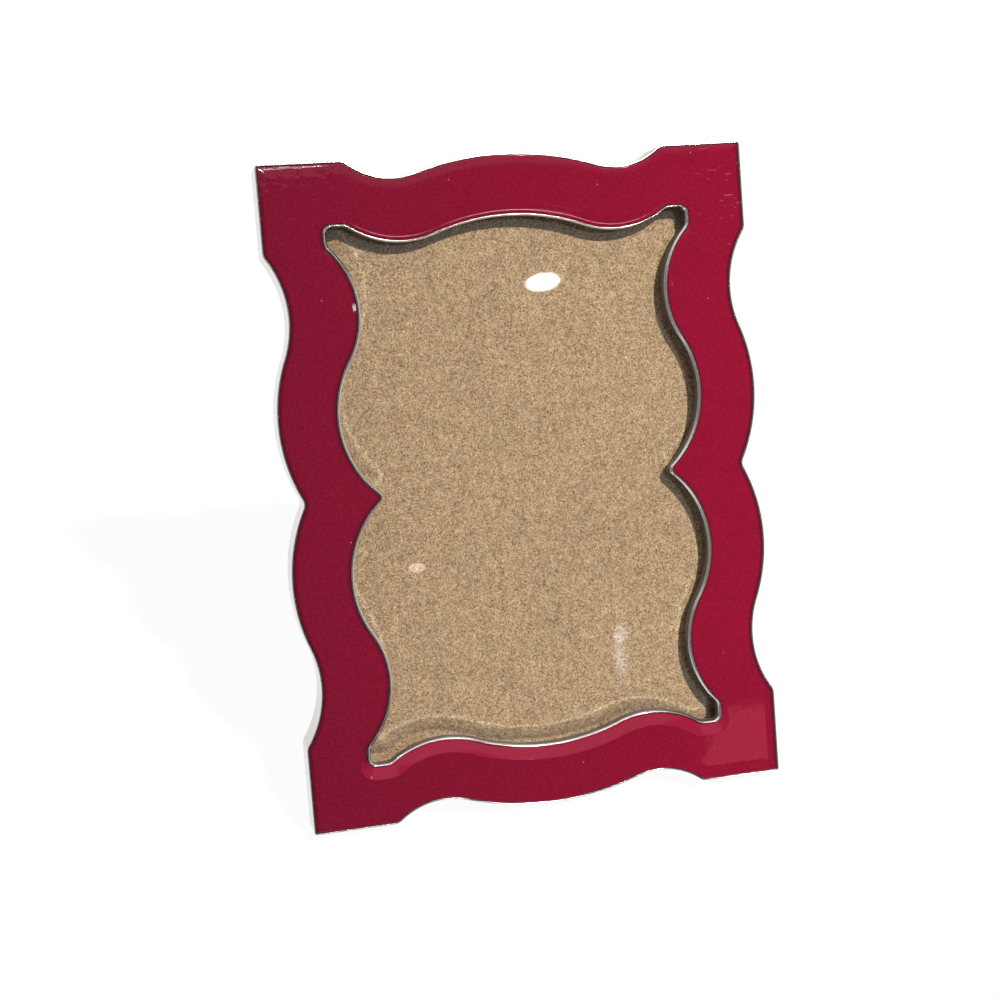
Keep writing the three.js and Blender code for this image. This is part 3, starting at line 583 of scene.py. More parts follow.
def enamel():
    s = Shade("crimson_enamel")
    s.set(IOR=1.5)
    at = s.place()
    x, y, _ = s.split(at, "ShaderNodeSeparateXYZ")
    cloud = s.noise(at, 22.0)
    grain = s.noise(at, 0.8, 3.0, 0.7)
    peel = s.noise(at, 3.5, 1.0)
    specks, draw = s.cells(at, 2.6)
    chance = s.split(draw, "ShaderNodeSeparateColor")[0]
    speck = s.math("MULTIPLY", s.math("LESS_THAN", specks, 0.08), s.math("GREATER_THAN", chance, 0.96))
    # Lighter towards the right: partly painted light, as if the light fell stronger there, and partly the
    # enamel's uneven tone
    tone = s.blend(s.spread(x, -0.075, 0.075, 0.0, 1.0), (0.19, 0.0055, 0.026), (0.345, 0.0055, 0.034))
    tone = s.blend(s.spread(cloud, 0.3, 0.7, 0.0, 0.25), tone, (0.225, 0.005, 0.025))
    tone = s.blend(s.spread(grain, 0.4, 0.7, 0.0, 0.4), tone, (0.33, 0.01, 0.042))
    tone = s.scaled(tone, s.spread(s.grains(at, 0.3)[0], 0.0, 1.0, 0.8, 1.2))
    tone = s.scaled(tone, s.spread(y, -0.1, -0.05, 0.88, 1.0))
    # Painted sheen makes the slope below the opening lighter, and painted shade makes the side edges darker
    painted_sheen_and_shade = s.add("ShaderNodeAttribute", {"attribute_name": "painted_sheen_and_shade"}).outputs["Fac"]
    tone = s.blend(s.math("MULTIPLY", painted_sheen_and_shade, 0.75), tone, (0.36, 0.013, 0.046))
    tone = s.blend(s.math("MULTIPLY", painted_sheen_and_shade, -0.75), tone, (0.05, 0.003, 0.012))
    dashes = s.noise(s.stretched(at, (0.25, 1.7, 1.0)), 1.0, 1.0)
    block = s.math("MULTIPLY", s.spread(x, 0.06, 0.068, 0.0, 1.0), s.spread(y, 0.06, 0.075, 0.0, 1.0))
    dash = s.math("MULTIPLY", s.spread(dashes, 0.7, 0.76, 0.0, 0.4), block)
    tone = s.blend(dash, tone, (0.62, 0.3, 0.34))
    s.colour(s.blend(speck, tone, (0.62, 0.2, 0.24)))
    hairs = s.noise(s.stretched(at, (0.3, 1.6, 1.0)), 1.3, 1.0)
    scratch = s.spread(hairs, 0.74, 0.8, 0.0, 0.14)
    s.rough(s.math("ADD", s.spread(cloud, 0.3, 0.7, 0.02, 0.035), scratch))
    corner = s.math("MULTIPLY", s.spread(x, -0.05, -0.054, 0.0, 1.0), s.spread(y, 0.09, 0.0945, 0.0, 1.0))
    waves = s.spread(s.noise(at, 2.6, 1.0), 0.0, 1.0, -0.5, 0.5)
    dents = s.math("MULTIPLY", waves, corner)
    s.bump((peel, 0.005), (s.math("MULTIPLY", scratch, -1.0), 0.004), (dents, 0.11))
    return s.material


def clear_glass():
    s = Shade("clear_glass")
    s.set(Transmission_Weight=1.0, IOR=1.5)
    at = s.place()
    smudge = s.noise(at, 30.0, 4.0)
    s.colour(s.blend(smudge, (0.985, 0.995, 0.99), (0.97, 0.985, 0.98)))
    s.rough(s.spread(smudge, 0.4, 0.8, 0.015, 0.05))
    ways = s.add("ShaderNodeLightPath")
    through = s.add("ShaderNodeBsdfTransparent", Color=(0.93, 0.95, 0.94, 1))
    mix = s.add("ShaderNodeMixShader")
    s.link(s.math("MAXIMUM", ways.outputs["Is Shadow Ray"], ways.outputs["Is Diffuse Ray"]), mix.inputs[0])
    s.link(s.bsdf.outputs[0], mix.inputs[1])
    s.link(through.outputs[0], mix.inputs[2])
    s.link(mix.outputs[0], s.out.inputs["Surface"])
    return s.material


def kraft_card():
    s = Shade("kraft_card")
    s.set(Roughness=0.92, Specular_IOR_Level=0.2)
    at = s.place()
    x = s.split(at, "ShaderNodeSeparateXYZ")[0]
    fibre = s.noise(at, 0.9, 4.0, 0.8)
    cloud = s.noise(at, 14.0, 3.0)
    lines = s.noise(s.stretched(at, (1.0, 0.06, 1.0)), 2.2, 2.0)
    # Painted light: the card is lighter towards the right, as if the light fell stronger there
    tone = s.blend(s.spread(x, -0.06, 0.06, 0.0, 1.0), (0.49, 0.303, 0.157), (0.6, 0.372, 0.197))
    tone = s.blend(s.spread(cloud, 0.3, 0.7, 0.0, 0.45), tone, (0.43, 0.268, 0.138))
    tone = s.blend(s.spread(lines, 0.52, 0.68, 0.0, 0.35), tone, (0.38, 0.237, 0.12))
    # Painted highlight: the card is lighter along the imprint's ridge
    wear_and_highlight = s.add("ShaderNodeAttribute", {"attribute_name": "wear_and_highlight"}).outputs["Fac"]
    tone = s.blend(s.math("MULTIPLY", wear_and_highlight, 0.6), tone, (0.8, 0.57, 0.36))
    mottle = s.noise(at, 2.6, 2.0)
    tone = s.scaled(tone, s.spread(mottle, 0.3, 0.7, 0.89, 1.11))
    coarse = s.grains(s.stretched(at, (0.9, 1.1, 1.0)), 0.4)[0]
    fine = s.grains(s.stretched(at, (0.9, 1.1, 1.0)), 0.26)[1]
    speckle = s.math("ADD", s.math("MULTIPLY", fine, 0.6), s.math("MULTIPLY", coarse, 0.2))
    speckle = s.math("ADD", speckle, s.spread(fibre, 0.3, 0.7, 0.0, 0.15))
    tone = s.tinted(tone, s.spread(speckle, 0.075, 0.875, -0.74, 0.76), (1.0, 1.27, 1.8), CARD_DARKEST)
    flecks, draw = s.cells(s.stretched(at, (1.0, 0.9, 1.0)), 1.3, "2D")
    chance = s.split(draw, "ShaderNodeSeparateColor")[1]
    fleck = s.math("MULTIPLY", s.spread(flecks, 0.13, 0.2, 0.85, 0.0), s.math("GREATER_THAN", chance, 0.84))
    s.colour(s.blend(fleck, tone, (0.09, 0.055, 0.03)))
    s.bump((fibre, 0.06), (lines, 0.05))
    return s.material


def hardboard():
    s = Shade("hardboard")
    s.set(Roughness=0.85, Specular_IOR_Level=0.3)
    at = s.place()
    strands = s.noise(s.stretched(at, (1.0, 0.3, 0.6)), 1.1, 4.0, 0.7)
    cloud = s.noise(at, 18.0)
    tone = s.blend(s.spread(strands, 0.3, 0.7, 0.0, 1.0), (0.095, 0.06, 0.036), (0.2, 0.135, 0.085))
    s.colour(s.blend(s.spread(cloud, 0.3, 0.7, 0.0, 0.35), tone, (0.12, 0.075, 0.045)))
    s.bump((strands, 0.06))
    return s.material


def velvet():
    s = Shade("black_velvet")
    s.set(Roughness=0.9, Specular_IOR_Level=0.25, Sheen_Weight=0.6, Sheen_Roughness=0.4)
    s.bsdf.inputs["Sheen Tint"].default_value = (0.8, 0.78, 0.84, 1)
    at = s.place()
    nap = s.noise(at, 0.3, 2.0, 0.6)
    tufts = s.grains(at, 0.35)[0]
    brushed = s.noise(s.stretched(at, (1.0, 0.4, 1.0)), 18.0, 4.0, 0.6)
    strokes = s.noise(s.stretched(at, (0.6, 0.12, 1.0)), 3.0, 3.0)
    tone = s.blend(s.spread(brushed, 0.38, 0.62, 0.0, 1.0), (0.0125, 0.012, 0.015), (0.036, 0.0345, 0.041))
    tone = s.blend(s.spread(strokes, 0.5, 0.7, 0.0, 0.5), tone, (0.05, 0.048, 0.056))
    tone = s.scaled(tone, s.spread(tufts, 0.0, 1.0, 0.6, 1.4))
    s.colour(tone)
    s.bump((nap, 0.14), (brushed, 0.25))
    return s.material


def nickel():
    s = Shade("nickel_steel")
    s.set(Metallic=1.0)
    at = s.place()
    brushed = s.noise(s.stretched(at, (0.15, 1.6, 1.0)), 0.5, 2.0)
    cloud = s.noise(at, 4.0, 3.0)
    tone = s.blend(cloud, (0.66, 0.64, 0.6), (0.55, 0.535, 0.5))
    s.colour(s.blend(s.spread(cloud, 0.6, 0.75, 0.0, 0.4), tone, (0.36, 0.32, 0.27)))
    s.rough(s.spread(brushed, 0.3, 0.7, 0.22, 0.4))
    s.bump((brushed, 0.012))
    return s.material


def satin_ribbon():
    s = Shade("satin_ribbon")
    s.set(Roughness=0.55, Sheen_Weight=0.3, Sheen_Roughness=0.4)
    at = s.place()
    across = s.wave(at, 0.3, "X", 0.4)
    cloud = s.noise(at, 5.0)
    tone = s.blend(cloud, (0.014, 0.013, 0.016), (0.026, 0.024, 0.029))
    s.colour(s.blend(s.spread(across, 0.0, 1.0, 0.0, 0.5), tone, (0.04, 0.037, 0.044)))
    s.bump((across, 0.04))
    return s.material


silver = plating("silver_plating", dull=0.0, shade=0.0)
# The sight wall: painted shade darkens it to brown
satin_and_shaded_silver = plating("satin_and_shaded_plating", dull=0.48, shade=0.85)
cast_silver = plating("cast_plating", dull=0.36, shade=0.35)
side_silver = plating("side_plating", dull=0.0, shade=0.34, relief=0.3)
crimson = enamel()
glass = clear_glass()
kraft = kraft_card()
board = hardboard()
black_velvet = velvet()
steel = nickel()
satin = satin_ribbon()

# Weights along an outline, evened over a short stretch of it


def ease(value, low, high):
    share = np.clip((value - low) / (high - low), 0, 1)
    return share**2 * (3 - 2 * share)


def evened(path, values):
    step = np.linalg.norm(np.roll(path, -1, 0) - path, axis=1)
    place = np.cumsum(step) - step
    apart = np.abs(place[:, None] - place[None, :])
    apart = np.minimum(apart, step.sum() - apart)
    weight = np.exp(-((apart / EVENED_OVER) ** 2)) * (step + np.roll(step, 1))[None, :]
    return weight @ values / weight.sum(1)


# The sight rim is wider at the sides
sight_path = outline(SIGHT, 0)
beside = evened(sight_path, ease(np.abs(outward(sight_path)[:, 0]), *FACING["beside"]))
sight_rim = RIM + RIM_WIDENING * beside

# Casting: side wall, thin rounded rims, the cell for the enamel, the sight wall and the rebate


def casting_loops():
    def outer(inset, z):
        return at_height(outline(OUTER, inset), z)

    def sight(out, z):
        return at_height(grown_outline(SIGHT, out), z)

    slope_top = SLOPE_TOP + SLOPE_TOP_WIDENING * beside
    slope_foot = FRONT - SLOPE_DROP - SLOPE_DROP_WIDENING * beside
    seat_edge = on_rectangle(outline(SIGHT, 0), REBATE_HALF)
    rear_edge = on_rectangle(outline(OUTER, 0), REBATE_HALF)
    return [
        outer(REAR_EASE, 0.0),
        outer(0.3 * REAR_EASE, 0.3 * REAR_EASE),
        outer(0.0, REAR_EASE),
        outer(0.0, 2 * REAR_EASE),
        outer(0.0, FRONT - 2 * WALL_EASE),
        outer(0.0, FRONT - WALL_EASE),
        outer(0.3 * WALL_EASE, FRONT - 0.3 * WALL_EASE),
        outer(WALL_EASE, FRONT),
        outer(OUTER_RIM - RIM_ROUND, FRONT),
        outer(OUTER_RIM - 0.3 * RIM_ROUND, FRONT - 0.3 * RIM_ROUND),
        outer(OUTER_RIM, FRONT - RIM_EASE),
        outer(OUTER_RIM, FRONT - 0.4),
        outer(OUTER_RIM, CELL_FLOOR),
        sight(sight_rim, CELL_FLOOR),
        sight(sight_rim, FRONT - 0.5),
        sight(sight_rim, FRONT - RIM_EASE),
        sight(sight_rim - 0.3 * RIM_ROUND, FRONT - 0.3 * RIM_ROUND),
        sight(sight_rim - RIM_ROUND, FRONT),
        sight(slope_top, FRONT),
        sight(slope_top - 0.04 - 0.02 * beside, FRONT - 0.012),
        sight(slope_top - 0.07 - 0.04 * beside, FRONT - 0.04),
        sight(0.05, slope_foot + 0.1),
        sight(0.0, slope_foot),
        sight(0.0, FRONT - 0.8),
        sight(0.0, LIP_SEAT + 0.4),
        sight(0.0, LIP_SEAT + LIP_EASE),
        sight(LIP_EASE, LIP_SEAT),
        at_height(seat_edge, LIP_SEAT),
        at_height(rear_edge, 0.0),
    ]


def frame_casting():
    loops = casting_loops()
    piece = ring_piece("casting_body", loops, silver)
    for material in (satin_and_shaded_silver, cast_silver, side_silver):
        piece.data.materials.append(material)
    # Rows of faces: the side wall comes first, and the sight wall and the rear come last
    rims, sight_wall, rear, side_wall = range(4)
    finish = [rims] * len(loops)
    finish[:5] = [side_wall] * 5
    finish[-7:-3] = [sight_wall] * 4
    finish[-3:] = [rear] * 3
    for face in piece.data.polygons:
        face.material_index = finish[face.index // len(loops[0])]
    piece.data.set_sharp_from_angle(angle=CASTING_SHARP)
    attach(piece, "frame")
    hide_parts("frame_casting")


# Enamel: almost flush with its rims, with a low bead above the opening and a slope below it


def edge_weights(path):
    across, rise = outward(path).T
    x, y = path.T
    in_top = 1 - ease(np.abs(x), *TOP_WITHIN)
    return {
        "up": evened(path, ease(rise, *FACING["up"]) * ease(y, *ENDS_FROM) * in_top),
        "down": evened(path, ease(-rise, *FACING["down"]) * ease(-y, *ENDS_FROM)),
        "block": evened(path, ease(rise, *FACING["block"]) * ease(-x, *BLOCK_FROM)),
        "left": evened(path, ease(-across, *FACING["side"])),
        "right": evened(path, ease(across, *FACING["side"])),
    }


def bevel_loops(start, far, wide, heights):
    def loop(reach, z):
        return at_height(start + (far - start) * reach[:, None] / BEVEL_REACH, FRONT + ENAMEL_CROWN + z)

    loops = [loop(0 * wide, -ENAMEL_DEPTH)]
    loops += [loop(wide * q, z) for q, z in zip(BEVEL_ROWS, heights)]
    return loops + [loop(wide + past, 0) for past in BEVEL_PAST]


def outer_bevel():
    path = outline(OUTER, 0)
    weight = edge_weights(path)
    moved = np.clip((path[:, 0] - BLOCK_SLIDE["from"]) / BLOCK_SLIDE["over"], 0, 1)
    slide = BLOCK_SLIDE["by"] * moved
    plain = np.interp(BEVEL_ROWS, *PLAIN_LIP) - PLAIN_FALL * (1 - np.array(BEVEL_ROWS)) ** PLAIN_CURVE
    falls = [weight["block"] * np.interp(q + slide, *BLOCK_PROFILE) for q in BEVEL_ROWS]
    heights = [z + fall for z, fall in zip(plain, falls)]
    # Painted shade along the outer edges at the sides
    painted_sheen_and_shade = [(weight["left"] + weight["right"]) * np.interp(q, *EDGE_SHADE) for q in BEVEL_ROWS]
    wide = OUTER_WIDTH["all"] + sum(OUTER_WIDTH[way] * weight[way] for way in ("up", "down", "block"))
    start = outline(OUTER, OUTER_RIM + ENAMEL_JOINT)
    far = outline(OUTER, OUTER_RIM + ENAMEL_JOINT + BEVEL_REACH)
    return bevel_loops(start, far, wide, heights), painted_sheen_and_shade


def sight_bevel():
    weight = edge_weights(sight_path)
    up, down = weight["up"], weight["down"]
    side = 1 - up - down
    profiles = [np.interp(BEVEL_ROWS, *profile) for profile in (TOP_PROFILE, BOTTOM_PROFILE, SIDE_PROFILE)]
    heights = [up * top + down * bottom + side * plain for top, bottom, plain in zip(*profiles)]
    # Painted sheen along the slope below the opening, and painted shade along the left side
    painted_sheen_and_shade = [down - weight["left"] * side * (1 - q) for q in BEVEL_ROWS]
    wide = SIGHT_WIDTH["up"] * up + SIGHT_WIDTH["down"] * down + SIGHT_WIDTH["side"] * side
    start = grown_outline(SIGHT, sight_rim + ENAMEL_JOINT)
    far = outline(SIGHT, -RIM - ENAMEL_JOINT - BEVEL_REACH)
    return bevel_loops(start, far, wide, heights), painted_sheen_and_shade


def enamel_inlay():
    outside, outside_painted_shade = outer_bevel()
    inside, inside_sheen_and_shade = sight_bevel()
    piece = ring_piece("enamel_band", outside + inside[::-1], crimson)
    # Painted light in the enamel: above 0 a painted sheen, lighter along the slope below the opening; below
    # 0 painted shade, darker along the edges at the sides
    even = [np.zeros(len(sight_path))] * 2
    painted_sheen_and_shade = [outside_painted_shade[0], *outside_painted_shade, *even, *even, *inside_sheen_and_shade[::-1], inside_sheen_and_shade[0]]
    values = np.concatenate(painted_sheen_and_shade).astype(np.float32)
    piece.data.attributes.new("painted_sheen_and_shade", "FLOAT", "POINT").data.foreach_set("value", values)
    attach(piece, "frame")
    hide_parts("enamel_inlay")


# Card: faint flutes, and an imprint of the opening's edge, outside which the card bends down


def card_heights(xs, ys):
    x, y = np.meshgrid(xs, ys)
    points = np.stack([x.ravel(), y.ravel()], 1)
    c, s = math.cos(IMPRINT_TURN), math.sin(IMPRINT_TURN)
    loop = outline(SIGHT, 0) @ [[c, s], [-s, c]] + IMPRINT_SHIFT
    ahead = np.roll(loop, -1, 0)
    along = ahead - loop
    size = np.maximum((along**2).sum(1), 1e-12)
    reach = np.empty(len(points))
    rise = np.empty(len(points))
    inside = np.empty(len(points), bool)
    # Distance and direction to the imprint's edge, and which points are inside it, batch by batch
    batch = 1500
    for k in range(0, len(points), batch):
        these = slice(k, k + batch)
        p = points[these, None, :]
        share = np.clip(((p - loop) * along).sum(2) / size, 0, 1)
        gap = loop + share[:, :, None] * along - p
        far = np.linalg.norm(gap, axis=2)
        best = far.argmin(1)
        rows = np.arange(len(best))
        reach[these] = far[rows, best]
        rise[these] = gap[rows, best, 1] / np.maximum(far[rows, best], 1e-6)
        crosses = (loop[:, 1] > p[:, :, 1]) != (ahead[:, 1] > p[:, :, 1])
        slant = np.where(along[:, 1] == 0, 1e-12, along[:, 1])
        meets = p[:, :, 0] < loop[:, 0] + (p[:, :, 1] - loop[:, 1]) / slant * along[:, 0]
        inside[these] = (crosses & meets).sum(1) % 2 == 1
    below = np.clip(rise, 0, 1) ** CARD_BELOW_CURVE
    slope = CARD_SLOPE + CARD_SLOPE_BELOW * below
    bend = CARD_BEND + CARD_BEND_BELOW * below
    drop = np.minimum(slope * reach + bend * reach**2, CARD_DROP_MOST)
    ridge = np.exp(-((reach / IMPRINT_WIDTH) ** 2))
    heights = np.where(inside, 0, -drop) + IMPRINT_HEIGHT * ridge
    flutes = FLUTE_HEIGHT * np.cos(2 * np.pi * x / FLUTE_PITCH)
    return heights.reshape(x.shape) + flutes, ridge


def cardboard():
    def graded(half, fine, counts):
        stops = (-half, *fine, half)
        runs = [np.linspace(a, b, count) for a, b, count in zip(stops, stops[1:], counts)]
        return np.concatenate([runs[0][:-1], runs[1][:-1], runs[2]])

    xs, ys = [graded(*values) for values in zip(BACK_HALF, CARD_FINE, CARD_STEPS)]
    heights, ridge = card_heights(xs, ys)
    rear = np.full_like(heights, CARD_REAR)
    piece = grid_piece("card_filler", xs, ys, CARD_FACE + heights, rear, kraft)
    # The imprint's ridge carries a painted highlight
    wear_and_highlight = np.concatenate([ridge, 0 * ridge]).astype(np.float32)
    piece.data.attributes.new("wear_and_highlight", "FLOAT", "POINT").data.foreach_set("value", wear_and_highlight)
    piece.data.set_sharp_from_angle(angle=CARD_SHARP)
    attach(piece, "frame")
    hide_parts("cardboard_filler")


# Cloth on the back: stretched flat, a little uneven, and turned over the board's edges


def ruffle(x, y):
    a = np.sin(0.11 * x + 0.05 * y + 0.7) * np.sin(0.07 * y - 0.03 * x + 1.9)
    b = np.sin(0.23 * x - 0.17 * y + 2.1) * np.sin(0.19 * y + 0.12 * x)
    return 0.5 + 0.3 * a + 0.2 * b


def back_cloth():
    def ticks(half):
        roll = half - np.array(BACK_CLOTH_EDGE_ROWS)
        flat = half - BACK_CLOTH_FLAT_FROM
        middle = np.linspace(-flat, flat, 60)
        return np.concatenate([-roll, middle, roll[::-1]])

    xs = ticks(BACK_HALF[0])
    ys = ticks(BACK_HALF[1])
    x, y = np.meshgrid(xs, ys)
    edge = np.minimum(BACK_HALF[0] - np.abs(x), BACK_HALF[1] - np.abs(y))
    roll_width, roll_depth = BACK_CLOTH_ROLL
    roll = np.clip(1 - edge / roll_width, 0, 1)
    rear = BACK_CLOTH_REAR + BACK_CLOTH_RUFFLE * ruffle(x, y) + roll_depth * (1 - np.sqrt(1 - roll**2))
    front = np.full_like(rear, BACK_CLOTH_FRONT)
    piece = grid_piece("back_cloth", xs, ys, front, rear, black_velvet)
    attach(piece, "frame")
    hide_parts("back_covering")


# Cloth on the strut: over its rear and round its long sides and top edge, with a raw edge at the foot


def strut_cloth_rows():
    down = np.linspace(0, 1, 50)
    turn = np.linspace(0, math.pi / 2, 7)
    across = np.linspace(-1, 1, 15)[1:-1]
    rows = []
    for inset, z in STRUT_CLOTH_ROWS:
        high = STRUT_TOP - inset
        half = STRUT_HALF_TOP - inset
        bend = max(STRUT_CORNER - inset, STRUT_CORNER_LEAST)
        start = high - bend
        foot = STRUT_CLOTH_SHORT - STRUT_LENGTH + z * STRUT_FOOT_SLANT
        side_y = start + (foot - start) * down[::-1]
        side_x = half + STRUT_SPLAY * (start - side_y)
        curve = np.column_stack([half - bend + bend * np.cos(turn), start + bend * np.sin(turn)])
        right = np.vstack([np.column_stack([side_x, side_y]), curve[1:]])
        bridge = np.column_stack([-across * (half - bend), np.full(len(across), high)])
        path = np.vstack([right, bridge, (right * (-1, 1))[::-1]])
        rows.append(at_height(path, z))
    return rows, len(right) - 1


def strut_cloth():
    rows, bend_end = strut_cloth_rows()
    count = len(rows[0])
    faces = []
    for row in range(len(rows) - 1):
        here, up = row * count, (row + 1) * count
        for i in range(count - 1):
            faces.append((here + i, up + i, up + i + 1, here + i + 1))
    # The rear joins the two long sides, and two fans close it along the top edge
    last = (len(rows) - 1) * count
    for i in range(bend_end - 1):
        a, b = last + i, last + count - 1 - i
        faces.append((a, b, b - 1, a + 1))
    near, far = last + bend_end - 1, last + count - bend_end
    line = range(near + 1, far)
    middle = line[len(line) // 2]
    faces.append((near, far, middle))
    for a in line[:-1]:
        faces.append((near if a < middle else far, a + 1, a))
    piece = new_piece("strut_cloth", strut_to_frame(np.vstack(rows)), faces, black_velvet)
    thick = piece.modifiers.new("thickness", "SOLIDIFY")
    thick.thickness = STRUT_CLOTH_THICKNESS * MM
    thick.offset = -1
    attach(piece, "strut")
    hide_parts("strut_covering")


# Ribbon: glued to the back and to the strut, and drawn taut between them


def ribbon_path(corners):
    path = [corners[0]]
    for k in (1, 2):
        before = corners[k - 1] - corners[k]
        after = corners[k + 1] - corners[k]
        before /= np.linalg.norm(before)
        after /= np.linalg.norm(after)
        for t in np.linspace(0, 1, 9):
            path.append(corners[k] + RIBBON_BEND * (before * (1 - t) ** 2 + after * t**2))
    path.append(corners[3])
    dense = []
    for a, b in zip(path, path[1:]):
        steps = max(int(np.linalg.norm(b - a) / RIBBON_STEP), 1)
        dense += [a + (b - a) * i / steps for i in range(steps)]
    return np.array(dense + [path[-1]])


def ribbon_section():
    half = RIBBON_HALF
    flat = half - RIBBON_FLAT_FROM
    lower = [(-half + x, -h) for x, h in RIBBON_EDGE]
    lower += [(x, -0.5) for x in np.linspace(-flat, flat, 7)]
    lower += [(half - x, -h) for x, h in RIBBON_EDGE[:0:-1]]
    return lower + [(-x, -h) for x, h in lower]


def ribbon_faces(rows, count):
    faces = []
    for row in range(rows - 1):
        for i in range(count):
            j = (i + 1) % count
            a, b = row * count, (row + 1) * count
            faces.append((a + i, b + i, b + j, a + j))
    # Each end is closed by strips from its lower to its upper side
    turn_back = count // 2
    for first, order in ((0, 1), ((rows - 1) * count, -1)):
        last = first + count
        cap = [(first, first + 1, last - 1)]
        cap += [(first + i, first + i + 1, last - 1 - i, last - i) for i in range(1, turn_back - 1)]
        cap.append((first + turn_back - 1, first + turn_back, first + turn_back + 1))
        faces += [face[::order] for face in cap]
    return faces


def ribbon():
    strut_ends = strut_to_frame([(0, *place) for place in RIBBON_ON_STRUT])[:, 1:]
    corners = np.array([*RIBBON_ON_BACK, *strut_ends])
    path = ribbon_path(corners)
    along = np.gradient(path, axis=0)
    along /= np.linalg.norm(along, axis=1)[:, None]
    normal = np.stack([-along[:, 1], along[:, 0]], 1)
    section = ribbon_section()
    points = [(x, *(p + n * h * RIBBON_THICKNESS)) for p, n in zip(path, normal) for x, h in section]
    piece = new_piece("stay_tape", points, ribbon_faces(len(path), len(section)), satin)
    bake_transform(piece)
    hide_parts("stay_ribbon")


# Small eased edges and smooth curves on the pieces that keep their solids


def smooth_by_angle():
    group = bpy.data.node_groups.new("smooth_by_angle", "GeometryNodeTree")
    group.interface.new_socket("Geometry", in_out="INPUT", socket_type="NodeSocketGeometry")
    group.interface.new_socket("Geometry", in_out="OUTPUT", socket_type="NodeSocketGeometry")
    start = group.nodes.new("NodeGroupInput")
    end = group.nodes.new("NodeGroupOutput")
    plain = group.nodes.new("GeometryNodeRemoveAttribute")
    plain.inputs["Name"].default_value = "custom_normal"
    faces = group.nodes.new("GeometryNodeSetShadeSmooth")
    faces.domain = "FACE"
    edges = group.nodes.new("GeometryNodeSetShadeSmooth")
    edges.domain = "EDGE"
    angle = group.nodes.new("GeometryNodeInputMeshEdgeAngle")
    gentle = group.nodes.new("FunctionNodeCompare")
    gentle.operation = "LESS_THAN"
    gentle.inputs[1].default_value = CURVED_ANGLE
    group.links.new(angle.outputs["Unsigned Angle"], gentle.inputs[0])
    group.links.new(start.outputs[0], plain.inputs["Geometry"])
    group.links.new(plain.outputs[0], faces.inputs["Geometry"])
    group.links.new(faces.outputs[0], edges.inputs["Geometry"])
    group.links.new(gentle.outputs[0], edges.inputs["Shade Smooth"])
    group.links.new(edges.outputs[0], end.inputs[0])
    return group


def dress(names, material, eased):
    for name in names:
        node = frame["nodes"][name]
        node.data.materials.clear()
        node.data.materials.append(material)
        weld = node.modifiers.new("weld", "WELD")
        weld.merge_threshold = WELD * MM
        plane = node.modifiers.new("plane", "DECIMATE")
        plane.decimate_type = "DISSOLVE"
        plane.angle_limit = FLAT_ANGLE
        bevel = node.modifiers.new("ease", "BEVEL")
        bevel.width = eased * MM
        bevel.segments = 2
        bevel.limit_method = "ANGLE"
        bevel.angle_limit = SHARP_ANGLE
        smooth = node.modifiers.new("smooth", "NODES")
        smooth.node_group = gentle_shading


frame_casting()
enamel_inlay()
cardboard()
back_cloth()
strut_cloth()
ribbon()

gentle_shading = smooth_by_angle()
corner_names = [f"{y}_{x}" for y in ("upper", "lower") for x in ("left", "right")]
rivets = [f"hinge_rivet_{b}_{s}" for b in ("back", "strut") for s in ("left", "right")]
dress(["hinge_fixed_leaf", "hinge_moving_leaf", "hinge_pin"], steel, EASED["hinge"])
dress(rivets, steel, EASED["rivet"])
dress([f"turn_button_{name}" for name in corner_names], steel, EASED["button"])
dress([f"button_screw_{name}" for name in corner_names], steel, EASED["screw"])
dress(["back_board", "strut_board"], board, EASED["board"])
pane = frame["nodes"]["glass_pane"].data
pane.materials.clear()
pane.materials.append(glass)

# Floor, light and camera


def floor():
    s = Shade("pale_floor")
    s.set(Roughness=0.9, Base_Color=(0.86, 0.86, 0.86, 1))
    ways = s.add("ShaderNodeLightPath")
    kinds = ("Is Camera Ray", "Is Glossy Ray", "Is Transmission Ray")
    seen = s.math("MAXIMUM", *[ways.outputs[kind] for kind in kinds])
    white = s.add("ShaderNodeEmission", Strength=1.03)
    mix = s.add("ShaderNodeMixShader")
    s.link(s.math("MULTIPLY", seen, 0.93), mix.inputs[0])
    s.link(s.bsdf.outputs[0], mix.inputs[1])
    s.link(white.outputs[0], mix.inputs[2])
    s.link(mix.outputs[0], s.out.inputs["Surface"])
    mesh = bpy.data.meshes.new("floor")
    near = [(-FLOOR_HALF, FLOOR_NEAR, FLOOR_Z), (FLOOR_HALF, FLOOR_NEAR, FLOOR_Z)]
    far = [(FLOOR_HALF, FLOOR_FAR, FLOOR_Z), (-FLOOR_HALF, FLOOR_FAR, FLOOR_Z)]
    mesh.from_pydata(near + far, [], [(0, 1, 2, 3)])
    mesh.materials.append(s.material)
    plane = bpy.data.objects.new("floor", mesh)
    scene.collection.objects.link(plane)


def frame_direction(x, y, z):
    c, s = math.cos(TURN), math.sin(TURN)
    return Vector((x, c * y - s * z, s * y + c * z)).normalized()


# Brightness of the room as the shiny faces mirror it, by direction


def key_glow(n, direction, along):
    towards = n.add("ShaderNodeVectorMath", {"operation": "DOT_PRODUCT"})
    towards.inputs[1].default_value = frame_direction(*KEY)
    n.link(direction, towards.inputs[0])
    edge, core = math.cos(KEY_GLOW["edge"]), math.cos(KEY_GLOW["core"])
    disc = n.smooth(towards.outputs["Value"], edge, core, 0.0, KEY_GLOW["level"])
    low, high = KEY_GLOW_BAND
    return n.math("MULTIPLY", n.smooth(along, *low, 0.0, 1.0), n.smooth(along, *high, 1.0, 0.0), disc)


